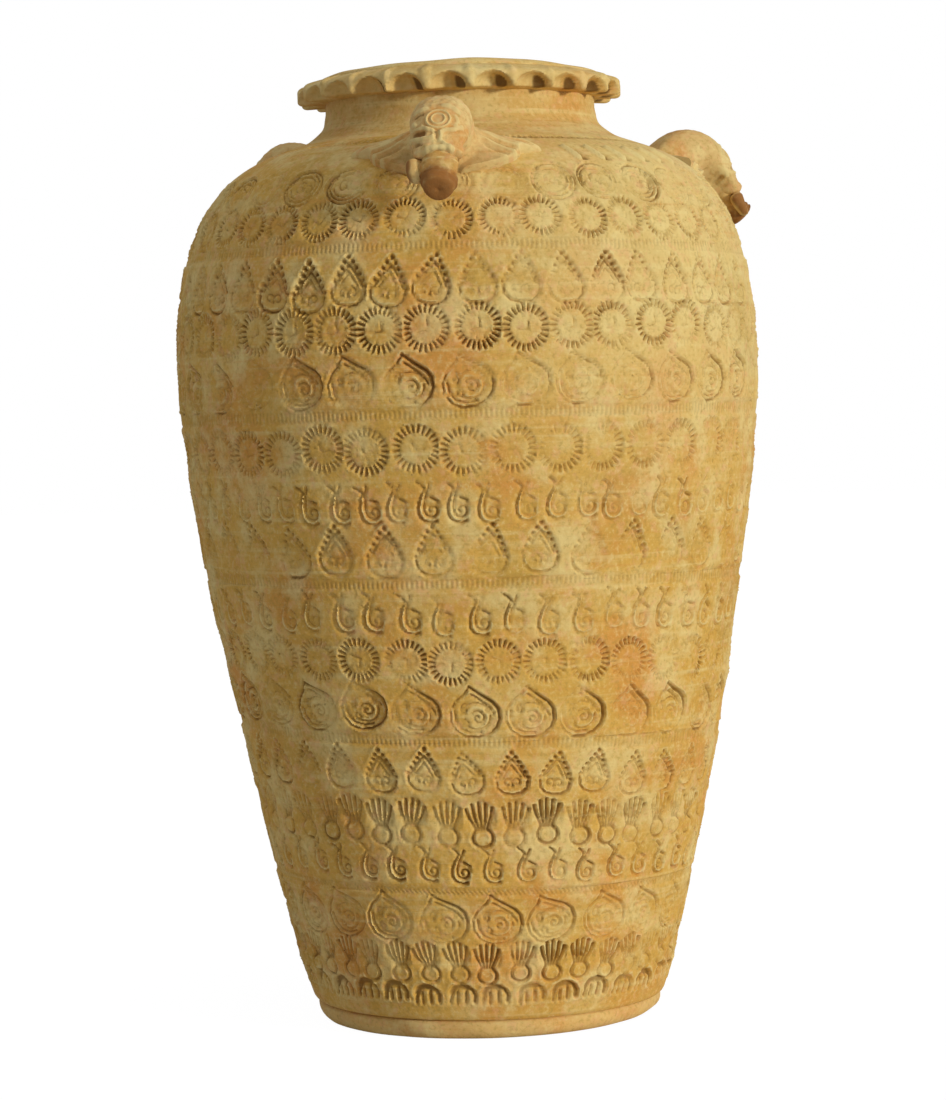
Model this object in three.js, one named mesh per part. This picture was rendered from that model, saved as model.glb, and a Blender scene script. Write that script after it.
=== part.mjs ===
// Elephant head jar: a tall open storage jar of fired clay.
// It is raised in courses luted one on another, stamped all over in rows, has a thumbed
// frill under its lip, and carries three elephant heads, spaced by eye, on its shoulder.
// Millimetres, +Z up. The origin is the middle of the base, on the floor.
// The front head faces -Y.

import * as THREE from "three";

// Slip layer between two pieces luted together
const SLIP = 0.3;

// Foot and floor
const FLOOR_THICKNESS = 14;
const FOOT_HEIGHT = 16.7;
const FOOT_RADIUS = 107;
const FOOT_ROLL_WIDTH = 13;
const FOOT_ROUNDING = 7;

// Wall curve, from the foot to the belly and over the shoulder to the neck
const WALL_THICKNESS = 11;
const WALL_FOOT_OVERHANG = 2.5;
const WALL_FOOT_LEAN = THREE.MathUtils.degToRad(21);
const WALL_FOOT_PULL = 49;
const BELLY_RADIUS = 178;
const BELLY_HEIGHT = 397;
const BELLY_PULL_DOWN = 90;
const SHOULDER_PULL_UP = 170;
const NECK_PULL_DOWN = 47;
const NECK_RADIUS = 82.5;
const SHOULDER_RISE = 160;

// Joints between courses, each under a roulette band: the lower ones up from the floor,
// the shoulder's and the neck's down from the narrowest part of the neck
const COURSE_JOINTS = [91.3, 180.4, 273, 370];
const SHOULDER_JOINT_DROP = 91;
const NECK_JOINT_DROP = 23;

// Bands rolled over the joints between courses
const BAND_HALF_HEIGHT = 3.5;
const BAND_DEPTH = 1;

// Rows of stamps pressed into the wall, from the foot up: the height of the row's middle,
// half its height, how many stamps there are and how far round the first one is, in degrees
const STAMP_DEPTH = 1.5;
const STAMP_ROWS = [
  { height: 28.6, rise: 8, count: 34, first: 6.9 },
  { height: 47.4, rise: 10, count: 40, first: 4.8 },
  { height: 73.4, rise: 12.5, count: 24, first: 7.6 },
  { height: 106.4, rise: 11, count: 44, first: -1.5 },
  { height: 132.2, rise: 13, count: 44, first: 3.6 },
  { height: 161, rise: 13.5, count: 35, first: 1 },
  { height: 198.2, rise: 12.5, count: 29, first: 2.9 },
  { height: 227.5, rise: 12, count: 36, first: -1.4 },
  { height: 254.5, rise: 12.5, count: 50, first: -2.3 },
  { height: 291, rise: 13, count: 35, first: 6.8 },
  { height: 319, rise: 12.5, count: 59, first: 1.8 },
  { height: 349.3, rise: 12, count: 39, first: 2.7 },
  { height: 388.5, rise: 14, count: 33, first: 3.6 },
  { height: 418.8, rise: 12, count: 40, first: 5.9 },
  { height: 444.5, rise: 13, count: 43, first: -1.9 },
  { height: 481.5, rise: 10, count: 39, first: 1.4 },
  { height: 502.5, rise: 8, count: 32, first: 1 },
];

// Collar, lip and frill
const COLLAR_RISE = 5;
const FRILL_LIFT = 4;
const FRILL_HEIGHT = 13.5;
const FRILL_PROUD = 16;
const FRILL_SCOOPS = 24;
const FRILL_TURN = THREE.MathUtils.degToRad(-6.3);
const FRILL_SCOOP_DEPTH = 7;
const FRILL_SCOOP_ARCH = 3.5;
const FRILL_EDGE = 2.5;
const LIP_PROUD = 3.5;
const LIP_ROLL_HEIGHT = 5.2;

// Elephant heads, measured down the shoulder from the neck, across it and out from it
const HEADS = [
  { name: "front", turn: 0 },
  { name: "right", turn: THREE.MathUtils.degToRad(117.5) },
  { name: "left", turn: THREE.MathUtils.degToRad(229) },
];
const HEAD_SEAT = 57;
const HEAD_LENGTH = 47;
const HEAD_CREST = 29;
const HEAD_HEIGHT = 41;
const HEAD_MUZZLE_DROP = 3.5;
const HEAD_HALF_WIDTH = 18;
const HEAD_BACK_HALF_WIDTH = 12;
const HEAD_SQUARENESS = 2.7;
const HEAD_EDGE = 2;

const BOSS_RADIUS = 6.6;
const BOSS_HEIGHT = 2.2;
const BOSS_PLACE = 29;

const TRUNK_RADIUS = 10.5;
const TRUNK_TIP_RADIUS = 9;
const TRUNK_LENGTH = 13;
const TRUNK_CUT = 0.37;
const TRUNK_OUT = 27;
const TRUNK_LIFT = 4;
const TRUNK_FOLDS = 3;
const TRUNK_FOLD_DEPTH = 0.7;

const TUSK_RADIUS = 3.6;
const TUSK_TIP_RADIUS = 2.8;
const TUSK_LENGTH = 9;
const TUSK_OUT = 25;
const TUSK_LIFT = 2;

const EAR_TOP = 1;
const EAR_ROOT_LENGTH = 30;
const EAR_REACH = 39;
const EAR_HEM_REACH = 6;
const EAR_FULLNESS = 2;
const EAR_TIP_DROP = 6;
const EAR_ROOT_THICKNESS = 19;
const EAR_HEM_THICKNESS = 4;
const EAR_RIBS = 4;
const EAR_RIB_HEIGHT = 1.6;

// Fineness of the curved surfaces
const WALL_FACETS = 45;
const WALL_STEP = 40;
const SHOULDER_STEP = 13;
const FRILL_FACETS_PER_SCOOP = 4;
const ROUNDING_STEPS = 3;
const HEAD_STEPS = 8;
const BOSS_FACETS = 12;
const TRUNK_FACETS = 10;
const TRUNK_STEPS = 6;
const TUSK_FACETS = 7;
const TUSK_STEPS = 3;
const EAR_FAN_STEPS = 8;
const EAR_REACH_STEPS = 5;

// Heights and radii that follow from the sizes above
const WALL_FOOT_RADIUS = FOOT_RADIUS + WALL_FOOT_OVERHANG;
const NECK_HEIGHT = BELLY_HEIGHT + SHOULDER_RISE;
const SHOULDER_JOINT = NECK_HEIGHT - SHOULDER_JOINT_DROP;
const NECK_JOINT = NECK_HEIGHT - NECK_JOINT_DROP;
const COLLAR_TOP = NECK_HEIGHT + COLLAR_RISE;
const FRILL_BOTTOM = NECK_HEIGHT + FRILL_LIFT;
const FRILL_TOP = FRILL_BOTTOM + FRILL_HEIGHT;
const LIP_UNDERSIDE = FRILL_TOP + SLIP;
const NECK_BORE = NECK_RADIUS - WALL_THICKNESS;
const FRILL_RADIUS = NECK_RADIUS + FRILL_PROUD;
const LIP_RADIUS = NECK_RADIUS + LIP_PROUD;

const lowerWall = new THREE.CubicBezierCurve(
  new THREE.Vector2(WALL_FOOT_RADIUS, FOOT_HEIGHT),
  new THREE.Vector2(
    WALL_FOOT_RADIUS + WALL_FOOT_PULL * Math.sin(WALL_FOOT_LEAN),
    FOOT_HEIGHT + WALL_FOOT_PULL * Math.cos(WALL_FOOT_LEAN),
  ),
  new THREE.Vector2(BELLY_RADIUS, BELLY_HEIGHT - BELLY_PULL_DOWN),
  new THREE.Vector2(BELLY_RADIUS, BELLY_HEIGHT),
);

const upperWall = new THREE.CubicBezierCurve(
  new THREE.Vector2(BELLY_RADIUS, BELLY_HEIGHT),
  new THREE.Vector2(BELLY_RADIUS, BELLY_HEIGHT + SHOULDER_PULL_UP),
  new THREE.Vector2(NECK_RADIUS, NECK_HEIGHT - NECK_PULL_DOWN),
  new THREE.Vector2(NECK_RADIUS, NECK_HEIGHT),
);

const SHOULDER_LENGTH = upperWall.getLength();

const clay = {
  body: new THREE.MeshStandardMaterial({ color: 0xc9a65f, roughness: 0.92, metalness: 0 }),
  base: new THREE.MeshStandardMaterial({ color: 0xb88f4c, roughness: 0.95, metalness: 0 }),
  rim: new THREE.MeshStandardMaterial({ color: 0xd4b878, roughness: 0.9, metalness: 0 }),
  head: new THREE.MeshStandardMaterial({ color: 0xd0ae68, roughness: 0.9, metalness: 0 }),
  trunk: new THREE.MeshStandardMaterial({ color: 0xa8702f, roughness: 0.9, metalness: 0 }),
  tusk: new THREE.MeshStandardMaterial({ color: 0xdcc488, roughness: 0.9, metalness: 0 }),
};

const jar = new THREE.Group();

function addPiece(parent, name, geometry, material) {
  const piece = new THREE.Mesh(geometry, material);
  piece.name = name;
  parent.add(piece);
}

// A body of revolution about +Z. The corners run up the outside and down the inside.
function turned(corners, facets) {
  return new THREE.LatheGeometry(corners, facets).rotateX(Math.PI / 2);
}

// Evenly spaced points along one stretch of the wall curve, foot end first
function wallPoints(curve, step) {
  const count = Math.ceil(curve.getLength() / step);
  const points = [];
  for (let i = 0; i <= count; i += 1) {
    const point = curve.getPointAt(i / count);
    const slope = curve.getTangentAt(i / count);
    const inside = new THREE.Vector2(
      point.x - WALL_THICKNESS * slope.y,
      point.y + WALL_THICKNESS * slope.x,
    );
    points.push({ outside: point, inside });
  }
  return points;
}

const wall = [...wallPoints(lowerWall, WALL_STEP), ...wallPoints(upperWall, SHOULDER_STEP).slice(1)];

// Where a face of the wall stands at a given height
function radiusAt(face, height) {
  const next = wall.findIndex((place) => place[face].y > height);
  if (next < 0) {
    return wall[wall.length - 1][face].x;
  }
  const above = wall[Math.max(next, 1)][face];
  const below = wall[Math.max(next, 1) - 1][face];
  const share = (height - below.y) / (above.y - below.y);
  return THREE.MathUtils.lerp(below.x, above.x, share);
}

// One face of the wall between two heights, from the bottom up
function faceBetween(face, bottom, top) {
  const between = wall
    .map((place) => place[face])
    .filter((point) => point.y > bottom + SLIP && point.y < top - SLIP);
  return [
    new THREE.Vector2(radiusAt(face, bottom), bottom),
    ...between,
    new THREE.Vector2(radiusAt(face, top), top),
  ];
}

// Places round +Z at one height, every second one pressed in where a rule says so
function circle(radius, height, count, first, pressAt = () => 0) {
  const places = [];
  for (let i = 0; i < count; i += 1) {
    const turn = first + (2 * Math.PI * i) / count;
    const reach = i % 2 === 0 ? radius - pressAt(turn) : radius;
    places.push(new THREE.Vector3(reach * Math.sin(turn), -reach * Math.cos(turn), height));
  }
  return { places, first };
}

// A plain circle on the outside of the wall, or a little inside it
function wallCircle(height, depth = 0) {
  return circle(radiusAt("outside", height) - depth, height, WALL_FACETS, 0);
}

// How deep a row's stamp is at one place. No stamp is pressed where a head is luted on.
function stampDepth(row, turn) {
  const headFoot = onShoulder(HEAD_SEAT + HEAD_LENGTH, 0, 0).z;
  const aside = (head) => Math.abs(Math.sin((turn - head.turn) / 2)) * 2 * radiusAt("outside", row.height);
  const hidden = row.height > headFoot && HEADS.some((head) => aside(head) < 2 * HEAD_HALF_WIDTH);
  return hidden ? 0 : STAMP_DEPTH;
}

// The circles of one row: its lower edge, its middle with the stamps, and its upper edge
function stampCircles(row) {
  const first = THREE.MathUtils.degToRad(row.first);
  const edge = (height) => circle(radiusAt("outside", height), height, row.count, first);
  const radius = radiusAt("outside", row.height);
  const middle = circle(radius, row.height, 2 * row.count, first, (turn) => stampDepth(row, turn));
  return [edge(row.height - row.rise), middle, edge(row.height + row.rise)];
}

// Corners of the triangles that join one circle to the next, whatever their counts
function stitch(lower, upper, lowerStart, upperStart) {
  const lowerCount = lower.places.length;
  const upperCount = upper.places.length;
  const lowerPitch = (2 * Math.PI) / lowerCount;
  const upperPitch = (2 * Math.PI) / upperCount;
  const shift = Math.round((lower.first - upper.first) / upperPitch);
  const lowerAt = (i) => lowerStart + (i % lowerCount);
  const upperAt = (j) => upperStart + ((((j + shift) % upperCount) + upperCount) % upperCount);
  const upperFirst = upper.first + shift * upperPitch;
  const corners = [];
  let i = 0;
  let j = 0;
  while (i < lowerCount || j < upperCount) {
    const nextLower = lower.first + (i + 1) * lowerPitch;
    const nextUpper = upperFirst + (j + 1) * upperPitch;
    if (j === upperCount || (i < lowerCount && nextLower < nextUpper)) {
      corners.push(lowerAt(i), lowerAt(i + 1), upperAt(j));
      i += 1;
    } else {
      corners.push(lowerAt(i), upperAt(j + 1), upperAt(j));
      j += 1;
    }
  }
  return corners;
}

// A closed body from circles that run up its outside and down its inside
function stitched(circles) {
  const starts = [];
  let total = 0;
  for (const ring of circles) {
    starts.push(total);
    total += ring.places.length;
  }
  const corners = circles.flatMap((ring, i) => {
    const next = (i + 1) % circles.length;
    return stitch(ring, circles[next], starts[i], starts[next]);
  });
  const geometry = new THREE.BufferGeometry().setFromPoints(circles.flatMap((ring) => ring.places));
  geometry.setIndex(corners);
  geometry.computeVertexNormals();
  return geometry;
}

// A course of the wall between two heights, with its rows of stamps, grooved where a band
// closes a joint
function wallCourse(bottom, top, bandBelow, bandAbove) {
  const rows = STAMP_ROWS.filter((row) => row.height > bottom && row.height < top);
  const lastRow = rows[rows.length - 1];
  const plainFrom = lastRow.height + lastRow.rise + BAND_HALF_HEIGHT;
  const plain = wall
    .map((place) => place.outside.y)
    .filter((height) => height > plainFrom && height < top - 2 * BAND_HALF_HEIGHT);
  const outside = [
    wallCircle(bottom, bandBelow ? BAND_DEPTH : 0),
    ...(bandBelow ? [wallCircle(bottom + BAND_HALF_HEIGHT)] : []),
    ...rows.flatMap(stampCircles),
    ...plain.map((height) => wallCircle(height)),
    ...(bandAbove ? [wallCircle(top - BAND_HALF_HEIGHT)] : []),
    wallCircle(top, bandAbove ? BAND_DEPTH : 0),
  ];
  const inside = faceBetween("inside", bottom, top)
    .reverse()
    .map((point) => circle(point.x, point.y, WALL_FACETS, 0));
  return stitched([...outside, ...inside]);
}

// A quarter round from one angle to another, in radius and height
function quarterRound(radius, height, width, rise, fromAngle, toAngle) {
  const points = [];
  for (let i = 0; i <= ROUNDING_STEPS; i += 1) {
    const angle = THREE.MathUtils.lerp(fromAngle, toAngle, i / ROUNDING_STEPS);
    points.push(new THREE.Vector2(radius + width * Math.cos(angle), height + rise * Math.sin(angle)));
  }
  return points;
}

function makeFoot() {
  const inner = FOOT_RADIUS - FOOT_ROLL_WIDTH;
  const floor = turned(
    [
      new THREE.Vector2(0, 0),
      new THREE.Vector2(inner - SLIP, 0),
      new THREE.Vector2(inner - SLIP, FLOOR_THICKNESS),
      new THREE.Vector2(0, FLOOR_THICKNESS),
    ],
    WALL_FACETS,
  );
  const roundCentre = FOOT_RADIUS - FOOT_ROUNDING;
  const roll = turned(
    [
      new THREE.Vector2(inner, 0),
      ...quarterRound(roundCentre, FOOT_ROUNDING, FOOT_ROUNDING, FOOT_ROUNDING, -Math.PI / 2, 0),
      new THREE.Vector2(FOOT_RADIUS, FOOT_HEIGHT - SLIP),
      new THREE.Vector2(inner, FOOT_HEIGHT - SLIP),
      new THREE.Vector2(inner, 0),
    ],
    WALL_FACETS,
  );
  addPiece(jar, "base_disc", floor, clay.base);
  addPiece(jar, "foot_roll", roll, clay.base);
}

function makeWall() {
  const joints = [FOOT_HEIGHT, ...COURSE_JOINTS, SHOULDER_JOINT, NECK_JOINT];
  const last = joints.length - 2;
  for (let i = 0; i <= last; i += 1) {
    const course = wallCourse(joints[i], joints[i + 1] - SLIP, i > 0, i < last);
    addPiece(jar, `wall_course_${i + 1}`, course, clay.body);
  }
}

function makeCollarAndLip() {
  const outside = faceBetween("outside", NECK_JOINT, NECK_HEIGHT);
  const inside = faceBetween("inside", NECK_JOINT, NECK_HEIGHT).reverse();
  const collar = turned(
    [
      ...outside,
      new THREE.Vector2(NECK_RADIUS, COLLAR_TOP - SLIP),
      new THREE.Vector2(NECK_BORE, COLLAR_TOP - SLIP),
      ...inside,
      outside[0],
    ],
    WALL_FACETS,
  );
  const middle = (NECK_BORE + LIP_RADIUS) / 2;
  const halfWidth = (LIP_RADIUS - NECK_BORE) / 2;
  const lip = turned(
    [
      new THREE.Vector2(NECK_BORE, COLLAR_TOP),
      new THREE.Vector2(NECK_RADIUS, COLLAR_TOP),
      new THREE.Vector2(NECK_RADIUS, LIP_UNDERSIDE),
      ...quarterRound(middle, LIP_UNDERSIDE, halfWidth, LIP_ROLL_HEIGHT, 0, Math.PI / 2),
      ...quarterRound(middle, LIP_UNDERSIDE, halfWidth, LIP_ROLL_HEIGHT, Math.PI / 2, Math.PI).slice(1),
      new THREE.Vector2(NECK_BORE, COLLAR_TOP),
    ],
    WALL_FACETS,
  );
  addPiece(jar, "neck_collar", collar, clay.rim);
  addPiece(jar, "rim_lip", lip, clay.rim);
}

// A coil round the neck, pressed in from below by a thumb at even steps
function makeFrill() {
  const inner = NECK_RADIUS + SLIP;
  const frill = turned(
    [
      new THREE.Vector2(inner, FRILL_BOTTOM),
      new THREE.Vector2(FRILL_RADIUS - FRILL_EDGE, FRILL_BOTTOM),
      new THREE.Vector2(FRILL_RADIUS, FRILL_BOTTOM + FRILL_EDGE),
      new THREE.Vector2(FRILL_RADIUS, FRILL_TOP - FRILL_EDGE),
      new THREE.Vector2(FRILL_RADIUS - FRILL_EDGE, FRILL_TOP),
      new THREE.Vector2(inner, FRILL_TOP),
      new THREE.Vector2(inner, FRILL_BOTTOM),
    ],
    FRILL_SCOOPS * FRILL_FACETS_PER_SCOOP,
  );
  const points = frill.attributes.position;
  const spot = new THREE.Vector3();
  for (let i = 0; i < points.count; i += 1) {
    spot.fromBufferAttribute(points, i);
    const radius = Math.hypot(spot.x, spot.y);
    const turn = Math.atan2(spot.x, -spot.y);
    const press = (1 - Math.cos(turn * FRILL_SCOOPS)) / 2;
    const low = (FRILL_TOP - spot.z) / FRILL_HEIGHT;
    const outer = (radius - inner) / (FRILL_RADIUS - inner);
    const pressed = radius - FRILL_SCOOP_DEPTH * press * outer * (1 + low) / 2;
    const lifted = spot.z + FRILL_SCOOP_ARCH * press * outer * low;
    points.setXYZ(i, pressed * Math.sin(turn), -pressed * Math.cos(turn), lifted);
  }
  addPiece(jar, "rim_frill", frill.rotateZ(FRILL_TURN), clay.rim);
}

// A place on the front of the shoulder: down the wall from the neck, across it, and out from it
function onShoulder(down, across, out) {
  const share = 1 - down / SHOULDER_LENGTH;
  const foot = upperWall.getPointAt(share);
  const slope = upperWall.getTangentAt(share);
  const radius = foot.x + out * slope.y;
  const turn = across / foot.x;
  return new THREE.Vector3(radius * Math.sin(turn), -radius * Math.cos(turn), foot.y - out * slope.x);
}

// Moves every corner of a geometry to the place that a rule gives for it
function shaped(geometry, rule) {
  const points = geometry.attributes.position;
  const corner = new THREE.Vector3();
  for (let i = 0; i < points.count; i += 1) {
    const spot = rule(corner.fromBufferAttribute(points, i));
    points.setXYZ(i, spot.x, spot.y, spot.z);
  }
  return geometry;
}

// Height of the head along its middle, from the back of the skull to the muzzle
function headHeight(along) {
  if (along < HEAD_CREST) {
    const back = 1 - along / HEAD_CREST;
    return HEAD_HEIGHT * Math.sqrt(1 - back * back);
  }
  const past = (along - HEAD_CREST) / (HEAD_LENGTH - HEAD_CREST);
  return HEAD_HEIGHT - HEAD_MUZZLE_DROP * past * past;
}

// Half the width of the head where it meets the shoulder
function headHalfWidth(along) {
  const swell = Math.sin((Math.PI / 2) * Math.min(along / HEAD_CREST, 1));
  return THREE.MathUtils.lerp(HEAD_BACK_HALF_WIDTH, HEAD_HALF_WIDTH, swell);
}

// Height of the head's skin at any place on it
function headSkin(along, across) {
  const aside = Math.min(Math.abs(across) / headHalfWidth(along), 1);
  const round = (1 - aside ** HEAD_SQUARENESS) ** (1 / HEAD_SQUARENESS);
  return Math.max(SLIP + HEAD_EDGE, headHeight(along) * round);
}

function headGeometry() {
  return shaped(new THREE.BoxGeometry(2, 2, 2, HEAD_STEPS, HEAD_STEPS, 1), (corner) => {
    const along = HEAD_LENGTH * (1 + corner.x) / 2;
    const across = headHalfWidth(along) * Math.sin((Math.PI / 2) * corner.y);
    const out = corner.z > 0 ? headSkin(along, across) : SLIP;
    return onShoulder(HEAD_SEAT + along, across, out);
  });
}

// A stamped pellet of two rings on the forehead
function bossGeometry() {
  const ring = BOSS_RADIUS / 4;
  const profile = [
    new THREE.Vector2(0, 0),
    new THREE.Vector2(ring, 0),
    new THREE.Vector2(2 * ring, 0),
    new THREE.Vector2(BOSS_RADIUS, 0),
    new THREE.Vector2(BOSS_RADIUS - ring / 2, BOSS_HEIGHT),
    new THREE.Vector2(BOSS_RADIUS - ring, BOSS_HEIGHT / 2),
    new THREE.Vector2(BOSS_RADIUS - 2 * ring, BOSS_HEIGHT),
    new THREE.Vector2(ring, BOSS_HEIGHT / 2),
    new THREE.Vector2(0, BOSS_HEIGHT / 2),
  ];
  return shaped(new THREE.LatheGeometry(profile, BOSS_FACETS), (corner) => {
    const along = BOSS_PLACE + corner.z;
    const out = headSkin(along, corner.x) + SLIP + corner.y;
    return onShoulder(HEAD_SEAT + along, corner.x, out);
  });
}

// A roll of clay that leaves the muzzle and rises out from the wall as it goes down.
// Its end is cut so that its outer side is the shorter one.
function rollGeometry(size, sides, steps) {
  return shaped(new THREE.CylinderGeometry(1, 1, 1, sides, steps), (corner) => {
    const share = corner.y + 0.5;
    const fold = size.foldDepth * Math.sin(Math.PI * share * size.folds) ** 2;
    const radius = THREE.MathUtils.lerp(size.rootRadius, size.tipRadius, share) - fold;
    const length = size.length - size.cut * radius * corner.x;
    const down = HEAD_SEAT + HEAD_LENGTH + SLIP + length * share;
    const out = size.out + size.lift * share * share + radius * corner.x;
    return onShoulder(down, size.across + radius * corner.z, out);
  });
}

function trunkGeometry() {
  const size = {
    rootRadius: TRUNK_RADIUS,
    tipRadius: TRUNK_TIP_RADIUS,
    length: TRUNK_LENGTH,
    cut: TRUNK_CUT,
    across: 0,
    out: TRUNK_OUT,
    lift: TRUNK_LIFT,
    folds: TRUNK_FOLDS,
    foldDepth: TRUNK_FOLD_DEPTH,
  };
  return rollGeometry(size, TRUNK_FACETS, TRUNK_STEPS);
}

function tuskGeometry(side) {
  const size = {
    rootRadius: TUSK_RADIUS,
    tipRadius: TUSK_TIP_RADIUS,
    length: TUSK_LENGTH,
    cut: 0,
    across: side * (TRUNK_RADIUS + SLIP + TUSK_RADIUS),
    out: TUSK_OUT,
    lift: TUSK_LIFT,
    folds: 0,
    foldDepth: 0,
  };
  return rollGeometry(size, TUSK_FACETS, TUSK_STEPS);
}

// A ribbed fan that slopes from the side of the head down to its hem on the shoulder
function earGeometry(side) {
  return shaped(new THREE.BoxGeometry(2, 2, 2, EAR_FAN_STEPS, EAR_REACH_STEPS, 1), (corner) => {
    const fan = (1 + corner.x) / 2;
    const reach = (1 + side * corner.y) / 2;
    const rootDown = EAR_TOP + EAR_ROOT_LENGTH * fan;
    const drop = EAR_TIP_DROP * (1 - fan) * reach;
    const spread = THREE.MathUtils.lerp(EAR_REACH, EAR_HEM_REACH, fan ** EAR_FULLNESS) * reach;
    const across = headHalfWidth(rootDown) + SLIP + spread;
    const rib = EAR_RIB_HEIGHT * reach * Math.cos(Math.PI * fan * EAR_RIBS) ** 2;
    const web = (1 - reach) ** 2;
    const out = THREE.MathUtils.lerp(EAR_HEM_THICKNESS, EAR_ROOT_THICKNESS, web) + rib;
    return onShoulder(HEAD_SEAT + rootDown + drop, side * across, corner.z > 0 ? out : SLIP);
  });
}

function makeHead(name, turn) {
  const head = new THREE.Group();
  head.rotation.z = turn;
  addPiece(head, `${name}_head`, headGeometry(), clay.head);
  addPiece(head, `${name}_boss`, bossGeometry(), clay.head);
  addPiece(head, `${name}_trunk`, trunkGeometry(), clay.trunk);
  for (const [label, side] of [["right", 1], ["left", -1]]) {
    addPiece(head, `${name}_tusk_${label}`, tuskGeometry(side), clay.tusk);
    addPiece(head, `${name}_ear_${label}`, earGeometry(side), clay.head);
  }
  jar.add(head);
}

makeFoot();
makeWall();
makeCollarAndLip();
makeFrill();
HEADS.forEach((place) => makeHead(place.name, place.turn));

export default jar;
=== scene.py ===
"""Elephant head jar: its fired clay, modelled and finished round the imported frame.

Lengths are millimetres until a mesh is finished, and then metres, in the frame's own axes:
+Z up and the front head towards -Y. A turn is an angle about +Z, from -Y towards +X.
"""

import logging
import math
from dataclasses import asdict, dataclass
from enum import Enum
from functools import cached_property
from typing import Any, Sequence

import bmesh
import bpy
import numpy as np
from mathutils import Matrix


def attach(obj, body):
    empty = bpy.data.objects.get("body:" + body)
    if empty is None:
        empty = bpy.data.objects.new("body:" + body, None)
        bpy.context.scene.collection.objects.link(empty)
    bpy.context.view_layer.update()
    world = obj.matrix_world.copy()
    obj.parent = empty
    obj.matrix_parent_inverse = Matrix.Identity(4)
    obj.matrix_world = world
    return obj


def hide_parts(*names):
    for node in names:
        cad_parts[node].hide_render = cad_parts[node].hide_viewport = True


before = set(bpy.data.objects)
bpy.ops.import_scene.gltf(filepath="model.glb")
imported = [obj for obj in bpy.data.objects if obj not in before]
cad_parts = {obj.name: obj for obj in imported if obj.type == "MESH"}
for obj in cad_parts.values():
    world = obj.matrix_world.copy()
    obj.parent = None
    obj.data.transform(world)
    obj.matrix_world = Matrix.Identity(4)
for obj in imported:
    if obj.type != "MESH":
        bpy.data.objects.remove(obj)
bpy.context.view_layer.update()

log = logging.getLogger("elephant_head_jar")

Array = np.ndarray
Point = tuple[float, float]
Mesh = bmesh.types.BMesh
Tree = bpy.types.NodeTree

MM = 0.001
FULL_TURN = 2 * math.pi
WEDGES = 8
WELD = 1e-3
NEAR = 1e-4
TINY = 1e-9
ROOT_BODY = "root"
RELIEF = "relief"
DARKENING = "scorch"

# Sizes that pieces share
FOOT_TOP = 12.0
NECK_JOINT = 534.0
LOW_LEAN = 2.2


class Slot(Enum):
    """Material slots of the record."""

    BODY = "clay_body"
    BASE = "clay_base"
    RIM = "clay_rim"
    HEAD = "clay_head"
    TRUNK = "clay_trunk"
    TUSK = "clay_tusk"


@dataclass(frozen=True)
class HeadPlace:
    """How one head was set by eye.

    Attributes:
        turn: Where it stands round the jar.
        seat: How far its back lies below the neck, down the wall.
        length: From its back to the end of its muzzle.
        trunk_length: How far the trunk goes past the muzzle.
        pressed: How much deeper it was pressed on.
        crisp: The share of the face's modelling that is left.
    """

    turn: float
    seat: float
    length: float
    trunk_length: float
    pressed: float
    crisp: float


class Head(Enum):
    """The three elephant heads."""

    FRONT = HeadPlace(0.0, 53.0, 49.5, 14.0, 0.0, 1.0)
    RIGHT = HeadPlace(math.radians(117.5), 58.0, 51.5, 10.5, 2.6, 0.4)
    LEFT = HeadPlace(math.radians(229), 57.0, 49.0, 13.5, 0.0, 0.6)


def linear(colour: str) -> tuple[float, float, float, float]:
    """Turns an sRGB hex colour to linear light.

    Args:
        colour: Six hex digits after a hash sign.

    Returns:
        Red, green, blue and a full alpha.
    """
    shares = [int(colour[i : i + 2], 16) / 255 for i in (1, 3, 5)]
    light = [s / 12.92 if s <= 0.04045 else ((s + 0.055) / 1.055) ** 2.4 for s in shares]
    return (*light, 1.0)


def add_node(
    tree: Tree, kind: str, inputs: dict[Any, Any] | None = None, **settings: Any
) -> bpy.types.Node:
    """Adds one node with its settings and links.

    Args:
        tree: The tree that gets the node.
        kind: Blender's name of the node type.
        inputs: Values, or sockets to link from, by input name or number.
        **settings: The node's own properties.

    Returns:
        The new node.
    """
    node = tree.nodes.new(kind)
    for key, value in settings.items():
        setattr(node, key, value)
    for key, value in (inputs or {}).items():
        if isinstance(value, bpy.types.NodeSocket):
            tree.links.new(value, node.inputs[key])
        else:
            node.inputs[key].default_value = value
    return node


class Pattern(Enum):
    """What a layer of colour follows on the clay."""

    FLUSH = "orange clouds that the flame left"
    UPPER_RIGHT_PALE = "the paler right of the shoulder"
    GRIME = "wide patches of grime"
    SLIP = "patches of rubbed slip"
    STREAK = "level streaks of wiping"
    FLECK = "small flecks"
    SPECK = "grit"
    LUMP = "lumps under the skin"
    GRAIN = "grain of the skin"
    UNEVEN = "what stands proud or is cut, broken up by flecks"
    # Where a piece is marked darker: painted shade in a face's hollows, and darker brown towards a
    # trunk's end and on one side of a tusk
    DARKENED = "what the flame scorched, broken up by flecks"


@dataclass(frozen=True)
class Layer:
    """A thin layer of colour that shows where a pattern lies between two limits."""

    pattern: Pattern
    low: float
    high: float
    share: float
    colour: str
    easing: str = "SMOOTHSTEP"


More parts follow.
